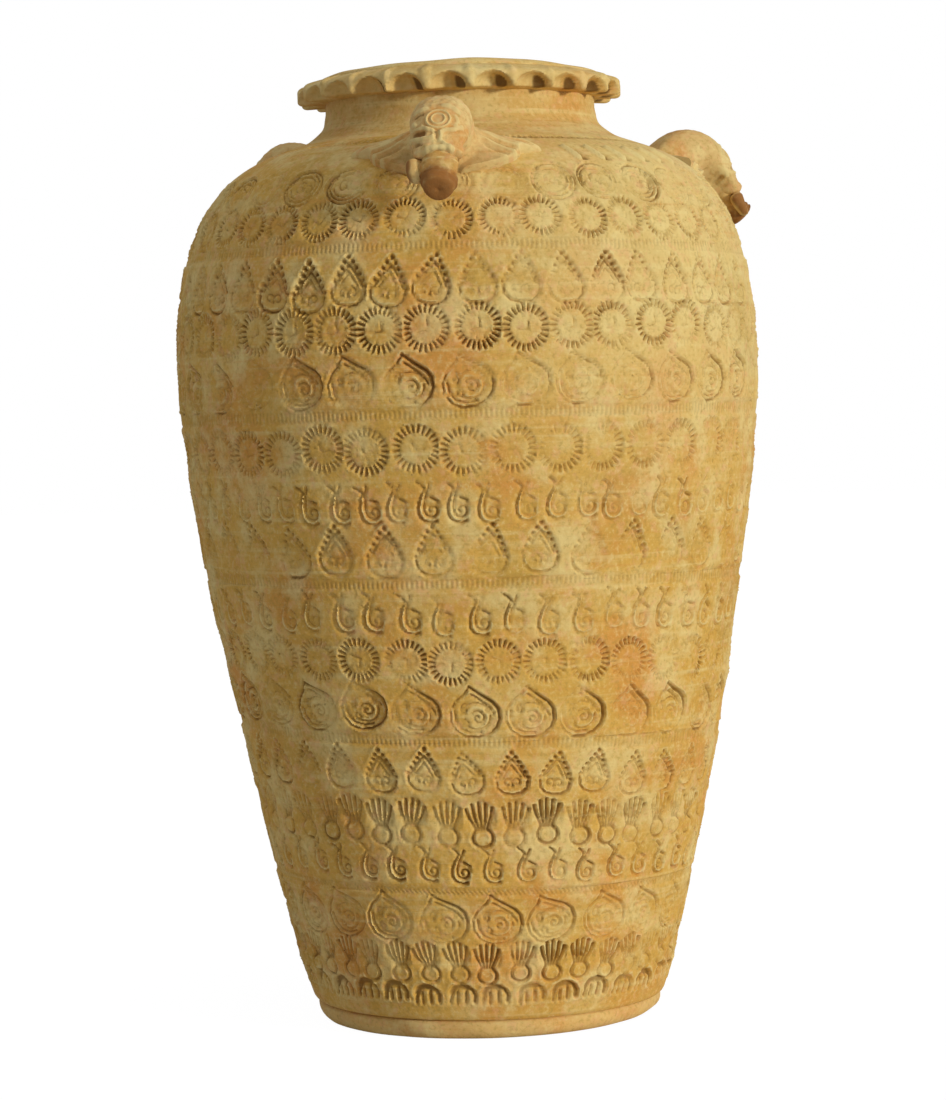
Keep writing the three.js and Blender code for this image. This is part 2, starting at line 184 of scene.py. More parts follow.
@dataclass(frozen=True)
class ClayFinish:
    """Earthenware fired low in a wood kiln, unglazed, covered in a slip wash and rubbed.

    The clay is matt and grainy. What stands proud is painted paler, partly slip rubbed on it and
    partly painted highlight; what is cut is painted darker, partly earth in it and partly painted
    shade. The flame leaves orange flushes, and wiping leaves fine level streaks.
    """

    name: str
    body: str = "#CFA24A"
    pale: str = "#E2CE8C"
    dark: str = "#7A5522"
    flush: str = "#CE8C40"
    grime: str = "#A88A40"
    blush: str = "#DDA672"
    scorch: str = "#8A5828"
    slip_share: float = 0.58
    flush_share: float = 0.72
    grime_share: float = 0.4
    upper_right_share: float = 0.0
    dark_share: float = 0.65
    streak_share: float = 0.45
    roughness: float = 0.9
    ior: float = 1.45
    specular: float = 0.25

    # Sizes of the patterns. Grit and grain are really under half a millimetre, too fine to show
    # in the render, so they are drawn 2 to 3 mm coarse
    flush_size: float = 48.0
    slip_size: float = 30.0
    grime_size: float = 90.0
    fleck_size: float = 7.0
    speck_size: float = 2.8
    grain_size: float = 2.0
    lump_size: float = 9.0
    streak_length: float = 110.0
    streak_height: float = 4.5
    cloud_roughness: float = 0.6

    # Shifts, in metres, that keep finishes and patterns from repeating one another
    seed: float = 0.0
    seed_aside: float = 0.7
    apart: tuple[float, float, float] = (3.1, 1.7, 0.4)

    # Where the paler upper right begins and is full, by height and to the right, the side the key
    # lamp lights
    upper_right_from: float = 280.0
    upper_right_to: float = 470.0
    aside_from: float = -10.0
    aside_to: float = 130.0

    # How much the flecks break up the relief and the darkening, and how deep the skin is uneven
    uneven_flecks: float = 0.5
    darkened_flecks: float = 1.1
    lump_depth: float = 0.8
    streak_depth: float = 0.4
    grain_depth: float = 0.3
    bump_strength: float = 0.8

    def material(self) -> bpy.types.Material:
        """Builds the material, or returns the one built before.

        Returns:
            The material.
        """
        made = bpy.data.materials.get(self.name)
        if made:
            return made
        material = bpy.data.materials.new(self.name)
        material.use_nodes = True
        tree = material.node_tree
        tree.nodes.clear()
        values = self._patterns(tree)
        shader = add_node(
            tree,
            "ShaderNodeBsdfPrincipled",
            {
                "Base Color": self._colour(tree, values),
                "Roughness": self.roughness,
                "IOR": self.ior,
                "Specular IOR Level": self.specular,
                "Normal": self._bump(tree, values),
            },
        )
        add_node(tree, "ShaderNodeOutputMaterial", {"Surface": shader.outputs[0]})
        return material

    def _patterns(self, tree: Tree) -> dict[Pattern, Any]:
        """Adds every pattern of the clay.

        Args:
            tree: The material's tree.

        Returns:
            The socket of each pattern's value.
        """
        place = add_node(tree, "ShaderNodeTexCoord").outputs["Object"]
        shifts = (
            {"Location": (self.seed, self.seed_aside * self.seed, 0)},
            {"Location": self.apart},
            {"Scale": (1, 1, self.streak_length / self.streak_height)},
        )
        mapped = []
        for shift in shifts:
            start = mapped[0] if mapped else place
            mapped.append(add_node(tree, "ShaderNodeMapping", {"Vector": start, **shift}).outputs[0])
        here, moved, level = mapped
        values = {}
        for pattern, vector, size, detail in (
            (Pattern.FLUSH, here, self.flush_size, 4),
            (Pattern.SLIP, moved, self.slip_size, 7),
            (Pattern.GRIME, moved, self.grime_size, 6),
            (Pattern.FLECK, here, self.fleck_size, 5),
            (Pattern.SPECK, moved, self.speck_size, 4),
            (Pattern.STREAK, level, self.streak_length, 5),
            (Pattern.LUMP, here, self.lump_size, 3),
            (Pattern.GRAIN, here, self.grain_size, 4),
        ):
            cloud = {"Vector": vector, "Scale": 1 / (size * MM), "Detail": detail}
            cloud["Roughness"] = self.cloud_roughness
            values[pattern] = add_node(tree, "ShaderNodeTexNoise", cloud).outputs[0]

        for pattern, attribute, flecks in (
            (Pattern.UNEVEN, RELIEF, self.uneven_flecks),
            (Pattern.DARKENED, DARKENING, self.darkened_flecks),
        ):
            painted = add_node(tree, "ShaderNodeAttribute", attribute_name=attribute).outputs["Fac"]
            parts = {0: values[Pattern.FLECK], 1: flecks, 2: painted}
            broken = add_node(tree, "ShaderNodeMath", parts, operation="MULTIPLY_ADD")
            values[pattern] = broken.outputs[0]

        # Paler towards the upper right of the shoulder, the side the key lamp lights
        axes = add_node(tree, "ShaderNodeSeparateXYZ", {0: here}).outputs
        upper_right_pale = self.upper_right_share
        for axis, start, end in (
            ("Z", self.upper_right_from, self.upper_right_to),
            ("X", self.aside_from, self.aside_to),
        ):
            limits = {0: axes[axis], 1: start * MM, 2: end * MM, 3: 0.0, 4: upper_right_pale}
            eased = add_node(tree, "ShaderNodeMapRange", limits, interpolation_type="SMOOTHSTEP")
            upper_right_pale = eased.outputs[0]
        values[Pattern.UPPER_RIGHT_PALE] = upper_right_pale
        return values

    def _colour(self, tree: Tree, values: dict[Pattern, Any]) -> Any:
        """Lays every colour over the body's, the lowest first.

        Args:
            tree: The material's tree.
            values: The sockets of the patterns.

        Returns:
            The socket of the colour.
        """
        layers = (
            Layer(Pattern.FLUSH, 0.46, 0.68, self.flush_share, self.flush),
            # Paler towards the upper right of the shoulder, the side the key lamp lights
            Layer(Pattern.UPPER_RIGHT_PALE, 0.0, 1.0, 1.0, self.pale, "LINEAR"),
            Layer(Pattern.GRIME, 0.5, 0.72, self.grime_share, self.grime),
            Layer(Pattern.SLIP, 0.44, 0.66, self.slip_share, self.pale),
            Layer(Pattern.STREAK, 0.5, 0.75, self.streak_share, self.pale),
            Layer(Pattern.STREAK, 0.46, 0.25, 0.4, self.flush),
            Layer(Pattern.FLECK, 0.52, 0.68, 0.45, self.blush),
            Layer(Pattern.SPECK, 0.51, 0.7, 0.4, self.pale),
            Layer(Pattern.SPECK, 0.48, 0.32, 0.42, self.grime),
            # Paler on what stands proud, partly rubbed slip and partly painted highlight; darker in
            # what is cut, partly earth and partly painted shade
            Layer(Pattern.UNEVEN, 0.32, 0.75, 0.6, self.pale),
            Layer(Pattern.UNEVEN, 0.02, -0.7, self.dark_share, self.dark),
            # Dark brown where a piece is marked darker, painted shade in a face's hollows among it
            Layer(Pattern.DARKENED, 0.78, 1.42, 0.9, self.scorch),
        )
        colour = linear(self.body)
        for layer in layers:
            limits = {0: values[layer.pattern], 1: layer.low, 2: layer.high, 3: 0.0, 4: layer.share}
            shown = add_node(tree, "ShaderNodeMapRange", limits, interpolation_type=layer.easing)
            parts = {0: shown.outputs[0], 6: colour, 7: linear(layer.colour)}
            colour = add_node(tree, "ShaderNodeMix", parts, data_type="RGBA").outputs[2]
        return colour

    def _bump(self, tree: Tree, values: dict[Pattern, Any]) -> Any:
        """Lays the lumps, the wiping marks and the grain over one another.

        Args:
            tree: The material's tree.
            values: The sockets of the patterns.

        Returns:
            The socket of the normal.
        """
        under = {}
        for pattern, depth in (
            (Pattern.LUMP, self.lump_depth),
            (Pattern.STREAK, self.streak_depth),
            (Pattern.GRAIN, self.grain_depth),
        ):
            skin = {"Height": values[pattern], "Distance": depth * MM, **under}
            skin["Strength"] = self.bump_strength
            under = {"Normal": add_node(tree, "ShaderNodeBump", skin).outputs[0]}
        return under["Normal"]


# The wall gives the eye matt yellow clay with orange clouds, paler on the right of the shoulder
BODY_CLAY = ClayFinish("earthenware_body_slip_rubbed", upper_right_share=0.6)

# The foot gives the eye the same clay, paler and more even
FOOT_CLAY = ClayFinish(
    "earthenware_foot_flushed", body="#DAB46C", flush_share=0.6, slip_share=0.55, seed=5.0
)

# The rim gives the eye slip wiped level, and dark brown painted as shadow on the right side of each
# thumb press
RIM_CLAY = ClayFinish(
    "earthenware_rim_slip_washed", body="#D0AA60", dark="#5E3F18", flush_share=0.45,
    grime_share=0.3, dark_share=0.85, streak_share=0.7, seed=2.0,
)

# The heads give the eye small pale and orange patches, where wet fingers worked
HEAD_CLAY = ClayFinish(
    "earthenware_modelled_head", body="#D6B474", slip_size=16.0, flush_size=40.0, seed=8.0
)

# The trunks give the eye clay that turns darker brown towards the end
TRUNK_CLAY = ClayFinish(
    "earthenware_scorched_trunk", body="#C69850", slip_size=11.0, flush_size=24.0,
    slip_share=0.5, seed=11.0,
)

# The tusks give the eye pale clay, darker brown on one side
TUSK_CLAY = ClayFinish(
    "earthenware_pale_tusk", body="#D4AC66", flush_share=0.5, slip_size=9.0, flush_size=20.0,
    seed=14.0,
)


def turned(outline: Sequence[Point], steps: int, closed: bool = True) -> Mesh:
    """Spins an outline of radius and height once round +Z, a wedge first and then its copies.

    Args:
        outline: Corners in radius and height.
        steps: How many steps make the full turn, a multiple of the number of wedges.
        closed: Whether the last corner joins the first. An outline that ends on the axis is open.

    Returns:
        The closed mesh.
    """
    bm = bmesh.new()
    corners = [bm.verts.new((0.0, -radius, height)) for radius, height in outline]
    sides = [bm.edges.new(pair) for pair in zip(corners, corners[1:])]
    if closed:
        sides.append(bm.edges.new((corners[-1], corners[0])))
    wedge = FULL_TURN / WEDGES
    middle = {"cent": (0, 0, 0), "axis": (0, 0, 1)}
    bmesh.ops.spin(bm, geom=corners + sides, angle=wedge, steps=steps // WEDGES, **middle)
    whole = [*bm.verts, *bm.edges, *bm.faces]
    rest = {"angle": FULL_TURN - wedge, "steps": WEDGES - 1}
    bmesh.ops.spin(bm, geom=whole, use_duplicate=True, **rest, **middle)
    bmesh.ops.remove_doubles(bm, verts=bm.verts, dist=WELD)
    bmesh.ops.recalc_face_normals(bm, faces=bm.faces)
    if not closed:
        bmesh.ops.dissolve_degenerate(bm, dist=NEAR, edges=bm.edges)
    return bm


def lump(cuts: int) -> Mesh:
    """Makes a block of two by two by two, cut into a fine grid that a rule then shapes.

    Args:
        cuts: How many cuts each edge gets.

    Returns:
        The block.
    """
    bm = bmesh.new()
    bmesh.ops.create_cube(bm, size=2)
    bmesh.ops.subdivide_edges(bm, edges=bm.edges, cuts=cuts, use_grid_fill=True)
    return bm


def corners_of(bm: Mesh) -> Array:
    """Returns the corners of a mesh, one row each."""
    return np.array([vert.co[:] for vert in bm.verts])


def move_corners(bm: Mesh, places: Array) -> None:
    """Puts every corner of a mesh at its new place."""
    for vert, place in zip(bm.verts, places.tolist()):
        vert.co = place


def normals_of(bm: Mesh) -> Array:
    """Returns the outward direction at every corner of a mesh."""
    bm.normal_update()
    return np.array([vert.normal[:] for vert in bm.verts])


def round_z(radius: Array, turn: Array, height: Array) -> Array:
    """Returns places from radius, turn and height, one row each."""
    return np.column_stack((radius * np.sin(turn), -radius * np.cos(turn), height))


def from_z(places: Array) -> tuple[Array, Array, Array]:
    """Returns the radius, turn and height of places."""
    across, depth, height = places.T
    return np.hypot(across, depth), np.arctan2(across, -depth), height


def smooth_step(value: Array, low: float, high: float) -> Array:
    """Returns a share that eases from 0 at a low limit to 1 at a high one."""
    share = np.clip((value - low) / (high - low), 0, 1)
    return share * share * (3 - 2 * share)


def span(value: Array, rise: Point, fall: Point) -> Array:
    """Returns a share that eases up to 1 over a first stretch and back to 0 over a later one."""
    return smooth_step(value, *rise) * (1 - smooth_step(value, *fall))


def hump(value: Array, middle: float, width: float) -> Array:
    """Returns a share that is 1 at a middle and fades out within about two widths of it."""
    return np.exp(-(((value - middle) / width) ** 2))


def dome(reach: Array, power: float) -> Array:
    """Returns a share that falls from 1 in the middle to 0 where the reach is 1."""
    return np.clip(1 - reach**2, 0, 1) ** power


def quarter(share: Array, power: float = 2.0) -> Array:
    """Returns the height of a rounded corner, from 1 at no share to 0 at a full one."""
    return (1 - np.clip(share, 0, 1) ** power) ** (1 / power)


@dataclass(frozen=True)
class Wave:
    """A wave round the clay: its size, how many to a turn, its pitch up and its start."""

    size: float
    count: float
    pitch: float = math.inf
    start: float = 0.0

    def at(self, turn: Array, height: Array | float = 0.0) -> Array:
        """Returns how far the wave lifts places."""
        return self.size * np.sin(self.count * turn + height / self.pitch + self.start)


def finish_piece(
    bm: Mesh,
    node: str,
    finish: ClayFinish,
    relief: Array | None = None,
    scorch: Array | None = None,
    crease: float = math.radians(80),
) -> bpy.types.Object:
    """Turns a mesh into the piece that stands for a node of the frame.

    Args:
        bm: The mesh, in millimetres. It is freed.
        node: The node's name. The piece is named after it.
        finish: The clay's finish.
        relief: How far each corner stands proud or is cut, from 1 to -1.
        darkening: How far each corner is darkened, from 0 to 1.
        crease: Edges sharper than this stay sharp.

    Returns:
        The piece, in metres.
    """
    bmesh.ops.scale(bm, verts=bm.verts, vec=(MM, MM, MM))
    mesh = bpy.data.meshes.new(f"clay_{node}")
    bm.to_mesh(mesh)
    bm.free()
    mesh.shade_smooth()
    mesh.set_sharp_from_angle(angle=crease)
    for name, values in ((RELIEF, relief), (DARKENING, scorch)):
        if values is not None:
            layer = mesh.attributes.new(name, "FLOAT", "POINT")
            layer.data.foreach_set("value", np.asarray(values, np.float32))
    mesh.materials.append(finish.material())
    piece = bpy.data.objects.new(f"clay_{node}", mesh)
    bpy.context.scene.collection.objects.link(piece)
    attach(piece, ROOT_BODY)
    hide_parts(node)
    mesh.calc_loop_triangles()
    log.info("%s: %d triangles", piece.name, len(mesh.loop_triangles))
    return piece


@dataclass(frozen=True)
class WallCurve:
    """Outside line of the wall in radius and height, from the foot over the belly to the neck."""

    foot_radius: float = 107.6
    foot_height: float = FOOT_TOP
    foot_lean: float = math.radians(21)
    foot_pull: float = 54.0
    belly_radius: float = 178.0
    belly_height: float = 397.0
    belly_pull: float = 90.0
    shoulder_pull: float = 170.0
    neck_radius: float = 82.5
    neck_height: float = 557.0
    neck_pull: float = 47.0
    thickness: float = 11.0
    skin_share: float = 1 / 3
    samples: int = 1200

    def _stretch(self, *pulls: Point) -> tuple[Array, Array]:
        """Samples one cubic curve.

        Args:
            *pulls: Its start, its two pulls and its end.

        Returns:
            Its points and its directions.
        """
        a, b, c, d = (np.array(p) for p in pulls)
        t = np.linspace(0, 1, self.samples)[:, None]
        rest = 1 - t
        points = rest**3 * a + 3 * rest**2 * t * b + 3 * rest * t**2 * c + t**3 * d
        heading = 3 * rest**2 * (b - a) + 6 * rest * t * (c - b) + 3 * t**2 * (d - c)
        return points, heading / np.hypot(*heading.T)[:, None]

    @cached_property
    def table(self) -> dict[str, Array]:
        """The sampled line.

        Returns:
            Radius, height, arc from the foot, and the outward direction, by name.
        """
        foot = (self.foot_radius, self.foot_height)
        leant = (
            foot[0] + self.foot_pull * math.sin(self.foot_lean),
            foot[1] + self.foot_pull * math.cos(self.foot_lean),
        )
        belly = (self.belly_radius, self.belly_height)
        before_belly = (belly[0], belly[1] - self.belly_pull)
        after_belly = (belly[0], belly[1] + self.shoulder_pull)
        neck = (self.neck_radius, self.neck_height)
        before_neck = (neck[0], neck[1] - self.neck_pull)
        low, low_heading = self._stretch(foot, leant, before_belly, belly)
        high, high_heading = self._stretch(belly, after_belly, before_neck, neck)
        points = np.vstack((low, high[1:]))
        heading = np.vstack((low_heading, high_heading[1:]))
        steps = np.hypot(*np.diff(points, axis=0).T)
        return {
            "radius": points[:, 0],
            "height": points[:, 1],
            "arc": np.concatenate(([0.0], np.cumsum(steps))),
            "out_radius": heading[:, 1],
            "out_height": -heading[:, 0],
        }

    def read(self, known: str, values: Array | float, *wanted: str) -> list[Array]:
        """Looks up columns of the table.

        Args:
            known: The column that the values are in: height or arc.
            values: Where to look.
            *wanted: The columns to return.

        Returns:
            One array for each wanted column.
        """
        return [np.interp(values, self.table[known], self.table[name]) for name in wanted]

    @cached_property
    def inner(self) -> tuple[Array, Array]:
        """Radius and height of the wall's inside line."""
        line = self.table
        return (
            line["radius"] - self.thickness * line["out_radius"],
            line["height"] - self.thickness * line["out_height"],
        )

    def outside(self, bottom: float, top: float, gap: float) -> list[Point]:
        """Finds evenly spaced points up the outside.

        Args:
            bottom: The lower height.
            top: The upper height.
            gap: About how far apart the points are.

        Returns:
            The points, from the bottom up.
        """
        (ends,) = self.read("height", np.array([bottom, top]), "arc")
        arcs = np.linspace(*ends, max(2, round((ends[1] - ends[0]) / gap)) + 1)
        radius, height = self.read("arc", arcs, "radius", "height")
        height[0], height[-1] = bottom, top
        return list(zip(radius.tolist(), height.tolist()))

    def inside(self, bottom: float, top: float, gap: float) -> list[Point]:
        """Finds evenly spaced points down the inside.

        Args:
            bottom: The lower height.
            top: The upper height.
            gap: About how far apart the points are.

        Returns:
            The points, from the top down.
        """
        radius, height = self.inner
        keep = np.concatenate(([True], np.diff(np.maximum.accumulate(height)) > 0))
        levels = np.linspace(top, bottom, max(2, round((top - bottom) / gap)) + 1)
        return list(zip(np.interp(levels, height[keep], radius[keep]).tolist(), levels.tolist()))

    def on_outside(self, radius: Array, height: Array) -> Array:
        """Returns whether places of the wall lie on its outside."""
        (line,) = self.read("height", height, "radius")
        return radius > line - self.thickness * self.skin_share


@dataclass(frozen=True)
class Stroke:
    """One line that a stamp cuts, or raises where its depth is below zero."""

    points: tuple[Point, ...]
    half_width: float
    depth: float
    roundness: float = 1.5

    def reach(self, across: Array, up: Array) -> Array:
        """Measures how far places lie from the line.

        Args:
            across: The places, to the right.
            up: The places, upwards.

        Returns:
            The distances, in half widths.
        """
        nearest = np.full(np.shape(across), np.inf)
        for (x0, y0), (x1, y1) in zip(self.points, self.points[1:] or self.points):
            dx, dy = x1 - x0, y1 - y0
            share = ((across - x0) * dx + (up - y0) * dy) / (dx * dx + dy * dy + TINY)
            share = np.clip(share, 0, 1)
            nearest = np.minimum(nearest, np.hypot(across - x0 - share * dx, up - y0 - share * dy))
        return nearest / self.half_width

    def relief(self, across: Array, up: Array) -> Array:
        """Returns the height of the line's own groove or ridge."""
        return -self.depth * dome(self.reach(across, up), self.roundness)


def sweep(
    middle: Point, radii: Point, start: float, end: float, shrink: float = 1.0, count: int = 14
) -> tuple[Point, ...]:
    """Finds points along an arc or a spiral.

    Args:
        middle: Its middle.
        radii: Its radius across and up.
        start: Where it starts, in degrees anticlockwise from the right.
        end: Where it ends.
        shrink: The share of the radius that is left at its end.
        count: How many points.

    Returns:
        The points in order.
    """
    shares = np.linspace(0, 1, count)
    angles = np.radians(start + (end - start) * shares)
    sizes = 1 + (shrink - 1) * shares
    across = middle[0] + radii[0] * sizes * np.cos(angles)
    up = middle[1] + radii[1] * sizes * np.sin(angles)
    return tuple(zip(across.tolist(), up.tolist()))


@dataclass(frozen=True)
class Stamp:
    """A carved stamp: the strokes that it cuts and the shallow floor that it presses."""

    strokes: tuple[Stroke, ...]
    floor_middle: Point = (0.0, 0.0)
    floor_half: Point = (11.0, 11.0)
    floor_depth: float = 0.35
    floor_edge: Point = (0.88, 1.08)
    cut_share: float = 0.9
    roundness: float = 1.2
    burr: float = 0.3
    burr_place: float = 1.45
    burr_width: float = 0.4
    burr_fade: float = 2.0

    def relief(self, across: Array, up: Array) -> Array:
        """Finds the relief that the stamp leaves.

        Args:
            across: Places to the right of its middle.
            up: Places above its middle.

        Returns:
            The height of the clay, and below it how far each line stands proud of the floor.
        """
        cut, burr, ridge = np.zeros((3, *across.shape))
        for stroke in self.strokes:
            reach = stroke.reach(across, up)
            height = abs(stroke.depth) * dome(reach, self.roundness)
            if stroke.depth < 0:
                ridge = np.maximum(ridge, height)
                continue
            cut = np.maximum(cut, height)
            pushed = self.burr * stroke.depth * hump(reach, self.burr_place, self.burr_width)
            burr = np.maximum(burr, pushed)
        (x, y), (half_x, half_y) = self.floor_middle, self.floor_half
        spot = np.hypot((across - x) / half_x, (up - y) / half_y)
        floor = self.floor_depth * (1 - smooth_step(spot, *self.floor_edge))
        raised = np.maximum(burr, ridge) * (1 - np.clip(cut * self.burr_fade, 0, 1))
        return np.stack((raised - self.cut_share * cut - floor, raised - cut))


def sunburst() -> Stamp:
    """Draws a ring of short dashes round a pointed mark.

    Returns:
        The stamp.
    """
    rays = [
        Stroke(sweep((0, 0), (radius, radius), angle, angle, stretch, 2), half_width, depth)
        for first, step, radius, stretch, half_width, depth in (
            (0, 15, 9.2, 1.4, 0.95, 1.5),
            (8, 36, 4.2, 1.9, 0.7, 0.5),
            (7.5, 15, 8.8, 1.45, 0.85, -0.5),
        )
        for angle in np.arange(first, 360, step).tolist()
    ]
    marks = (
        Stroke(((0.8, 4.4), (1.4, -0.8)), 0.8, 0.9),
        Stroke(((1.4, -0.8), (-4.2, -2.0)), 0.8, 0.9),
    )
    return Stamp((*rays, *marks), (0.0, 0.0), (13.4, 13.4), 0.7)


def teardrop() -> Stamp:
    """Draws a leaf with its point up, dots down its upper sides and a small pair of curls inside.

    Returns:
        The stamp.
    """
    dots = [Stroke(((0.0, 13.4),), 1.7, 2.0)]
    for side in (-1, 1):
        for share in (0.14, 0.35, 0.57, 0.79, 1.0):
            place = (side * (1.2 + 8.2 * share), 12.8 - 14.6 * share)
            dots.append(Stroke((place,), 1.5, 2.0 - 0.6 * share))
    left_bowl = ((-9.2, -4.0), (-8.4, -8.0), (-5.0, -11.0), (0.0, -11.8))
    right_bowl = ((5.0, -11.0), (8.4, -8.2), (9.4, -4.2))
    lines = (
        Stroke(((-7.4, -1.6), (-3.4, 5.2), (0.0, 9.4)), 1.0, 1.1),
        Stroke(((0.0, 9.4), (3.6, 5.0), (7.6, -1.8)), 1.0, 1.2),
        Stroke(((-5.0, -1.4), (0.0, 5.6), (5.0, -1.6)), 0.9, 0.9),
        Stroke((*left_bowl, *right_bowl), 1.1, 1.3),
        Stroke(sweep((-2.8, -5.0), (3.0, 3.2), -40, 300, 0.35), 0.95, 1.0),
        Stroke(sweep((2.8, -5.0), (3.0, 3.2), 220, -120, 0.35), 0.95, 1.0),
    )
    ridges = (
        Stroke(((-8.4, -3.4), (-7.2, -7.4), (-4.2, -9.8), (0.0, -10.4), (4.4, -9.6)), 0.9, -0.7),
        Stroke(((-5.6, 0.6), (-1.6, 6.4)), 0.9, -0.6),
    )
    return Stamp((*dots, *lines, *ridges), (0.0, -1.6), (9.6, 11.6), 1.0)


def onion() -> Stamp:
    """Draws a round bulb with its tip up to the left, lined twice and filled with a swirl.

    Returns:
        The stamp.
    """
    low_left = ((-4.0, -14.4), (-9.8, -11.8), (-13.8, -6.4), (-14.6, 0.0))
    high_left = ((-11.6, 6.4), (-7.4, 10.6), (-4.9, 15.6))
    high_right = ((-4.9, 15.6), (-2.2, 14.0), (5.0, 10.2), (9.8, 8.0), (13.2, 4.6), (14.6, -1.2))
    low_right = ((14.6, -1.2), (13.4, -6.4), (9.6, -10.8), (3.6, -13.6), (-4.0, -14.4))
    second = ((-11.8, 0.0), (-10.8, -6.0), (-7.4, -10.2), (-2.0, -11.8), (4.6, -10.8))
    strokes = (
        Stroke(high_right, 1.2, 1.6),
        Stroke(low_right, 1.0, 1.3),
        Stroke((*low_left, *high_left), 1.0, 1.3),
        Stroke(((-3.4, 11.0), (2.4, 8.0), (7.6, 5.0), (11.2, 0.6)), 1.0, 1.1),
        Stroke(second, 1.0, 1.2),
        Stroke(sweep((1.8, -2.6), (4.8, 4.4), 140, -290, 0.2, 18), 1.0, 1.2),
        Stroke(sweep((0.6, -1.4), (8.4, 7.6), 160, 35, count=8), 0.95, 1.1),
        Stroke(sweep((0.4, -1.8), (8.6, 7.8), 10, -120, count=8), 0.95, 1.0),
        Stroke(sweep((-6.4, 1.6), (2.6, 3.4), 70, 380, 0.4), 0.95, 1.1),
        Stroke(sweep((-4.4, -6.2), (2.6, 2.2), 110, 420, 0.4), 0.95, 1.0),
        Stroke(sweep((6.8, 3.2), (2.0, 2.2), 60, -220, 0.4), 0.9, 0.9),
    )
    ridge = ((-13.0, 0.2), (-12.2, -6.2), (-8.6, -11.0), (-3.0, -13.0), (4.2, -12.2))
    ridges = (
        Stroke(ridge, 0.9, -0.8),
        Stroke(((-4.2, 13.0), (-8.6, 7.6), (-12.0, 3.0)), 0.9, -0.6),
        Stroke(sweep((1.2, -2.2), (6.6, 6.0), 160, -120, count=10), 0.9, -0.7),
    )
    return Stamp((*strokes, *ridges), (0.2, -1.2), (14.4, 13.4), 1.15)


def curl() -> Stamp:
    """Draws a forked sprout whose double stem hooks round to a curl at its foot.

    Returns:
        The stamp.
    """
    stem = ((-2.2, 8.0), (-4.2, 4.0), (-5.8, -1.6), (-5.6, -6.4))
    hook = ((-3.2, -9.8), (1.2, -11.2), (4.6, -10.2))
    strokes = (
        Stroke(((-6.0, 12.4), (-4.0, 11.2), (-1.4, 8.4)), 1.15, 1.5),
        Stroke(((1.4, 11.8), (0.2, 8.2)), 1.1, 1.3),
        Stroke((*stem, *hook), 1.15, 1.4),
        Stroke(((-0.2, 7.4), (-1.8, 3.0), (-2.8, -1.6), (-2.2, -5.6)), 1.0, 1.2),
        Stroke(sweep((2.0, -4.0), (4.4, 4.2), 215, 590, 0.3, 20), 1.1, 1.4),
        Stroke(((1.6, 3.4), (5.8, 1.6)), 1.0, 1.4),
        Stroke(((-5.4, 3.8), (-7.0, 0.6)), 0.9, 0.9),
    )
    body = ((-1.2, 8.0), (-3.2, 3.4), (-4.4, -1.6), (-4.0, -5.8))
    body_end = ((-1.8, -8.6), (2.0, -9.4), (5.4, -7.6), (6.4, -4.0))
    ridge = Stroke((*body, *body_end), 1.5, -1.2)
    return Stamp((*strokes, ridge), (-0.2, -4.0), (7.4, 9.0), 1.0)


def palmette() -> Stamp:
    """Draws a print like a hand: five fingers that fan up from a waist, over a round heel.

    Returns:
        The stamp.
    """
    fingers = [
        Stroke(((0.4 * x, -3.0), (0.8 * x, 4.0), (x, 12.4 - 0.06 * x * x)), 1.2, 1.5)
        for x in (-7.2, -3.6, 0.0, 3.6, 7.2)
    ]
    ribs = [
        Stroke(((0.4 * x, -2.0), (0.8 * x, 4.0), (x, 11.0)), 0.9, -0.7)
        for x in (-5.4, -1.8, 1.8, 5.4)
    ]
    heel = Stroke(sweep((0.2, -7.4), (5.6, 5.2), 128, 412, count=14), 1.3, 1.7)
    return Stamp((*fingers, *ribs, heel), (0.0, 4.6), (8.8, 9.8), 1.1)


def medallion() -> Stamp:
    """Draws a round seal of rings filled with a pair of swirls.

    Returns:
        The stamp.
    """
    strokes = (
        Stroke(sweep((0, 0), (13.4, 13.4), 0, 360, count=28), 1.0, 1.5),
        Stroke(sweep((-0.4, 0.4), (11.0, 11.0), 130, 420, count=20), 0.95, 1.2),
        Stroke(sweep((-0.6, 0.6), (8.6, 8.6), 190, 480, count=18), 0.95, 1.1),
        Stroke(sweep((-2.4, 0.6), (4.6, 5.6), 20, 420, 0.2, 20), 1.0, 1.2),
        Stroke(sweep((4.0, -1.4), (3.8, 4.8), 200, -160, 0.3, 16), 1.0, 1.1),
    )
    ridges = (
        Stroke(sweep((-0.2, 0.2), (12.2, 12.2), 120, 430, count=22), 0.9, -0.8),
        Stroke(sweep((-0.5, 0.5), (9.8, 9.8), 180, 480, count=20), 0.9, -0.7),
    )
    return Stamp((*strokes, *ridges), (0.0, 0.0), (13.6, 13.6), 0.8)


def beast() -> Stamp:
    """Draws a small humped beast with its head down, on short legs.

    Returns:
        The stamp.
    """
    strokes = (
        Stroke(((-6.4, 1.0), (-4.6, 4.2), (-0.6, 5.4), (3.4, 4.6)), 2.6, 2.2),
        Stroke(((3.4, 4.6), (6.6, 3.2), (8.4, -0.6), (7.8, -4.4)), 1.7, 1.9),
        Stroke(((-6.4, 1.0), (-7.6, -5.4)), 1.5, 1.9),
        Stroke(((-2.8, 1.4), (-3.4, -5.8)), 1.2, 1.6),
        Stroke(((2.6, 2.2), (2.2, -5.4)), 1.5, 1.8),
    )
    return Stamp(strokes, (0.0, 0.6), (8.4, 7.4), 0.5)


class Motif(Enum):
    """The carved stamps that the wall is pressed with."""

    SUNBURST = sunburst()
    TEARDROP = teardrop()
    ONION = onion()
    CURL = curl()
    PALMETTE = palmette()
    MEDALLION = medallion()
    BEAST = beast()


@dataclass(frozen=True)
class StampRow:
    """One row of stamps round the wall: middle height, count, first place and lean in degrees."""

    motif: Motif
    height: float
    count: int
    first: float
    size: float = 1.0
    lean: float = 0.0
    press: float = 1.0


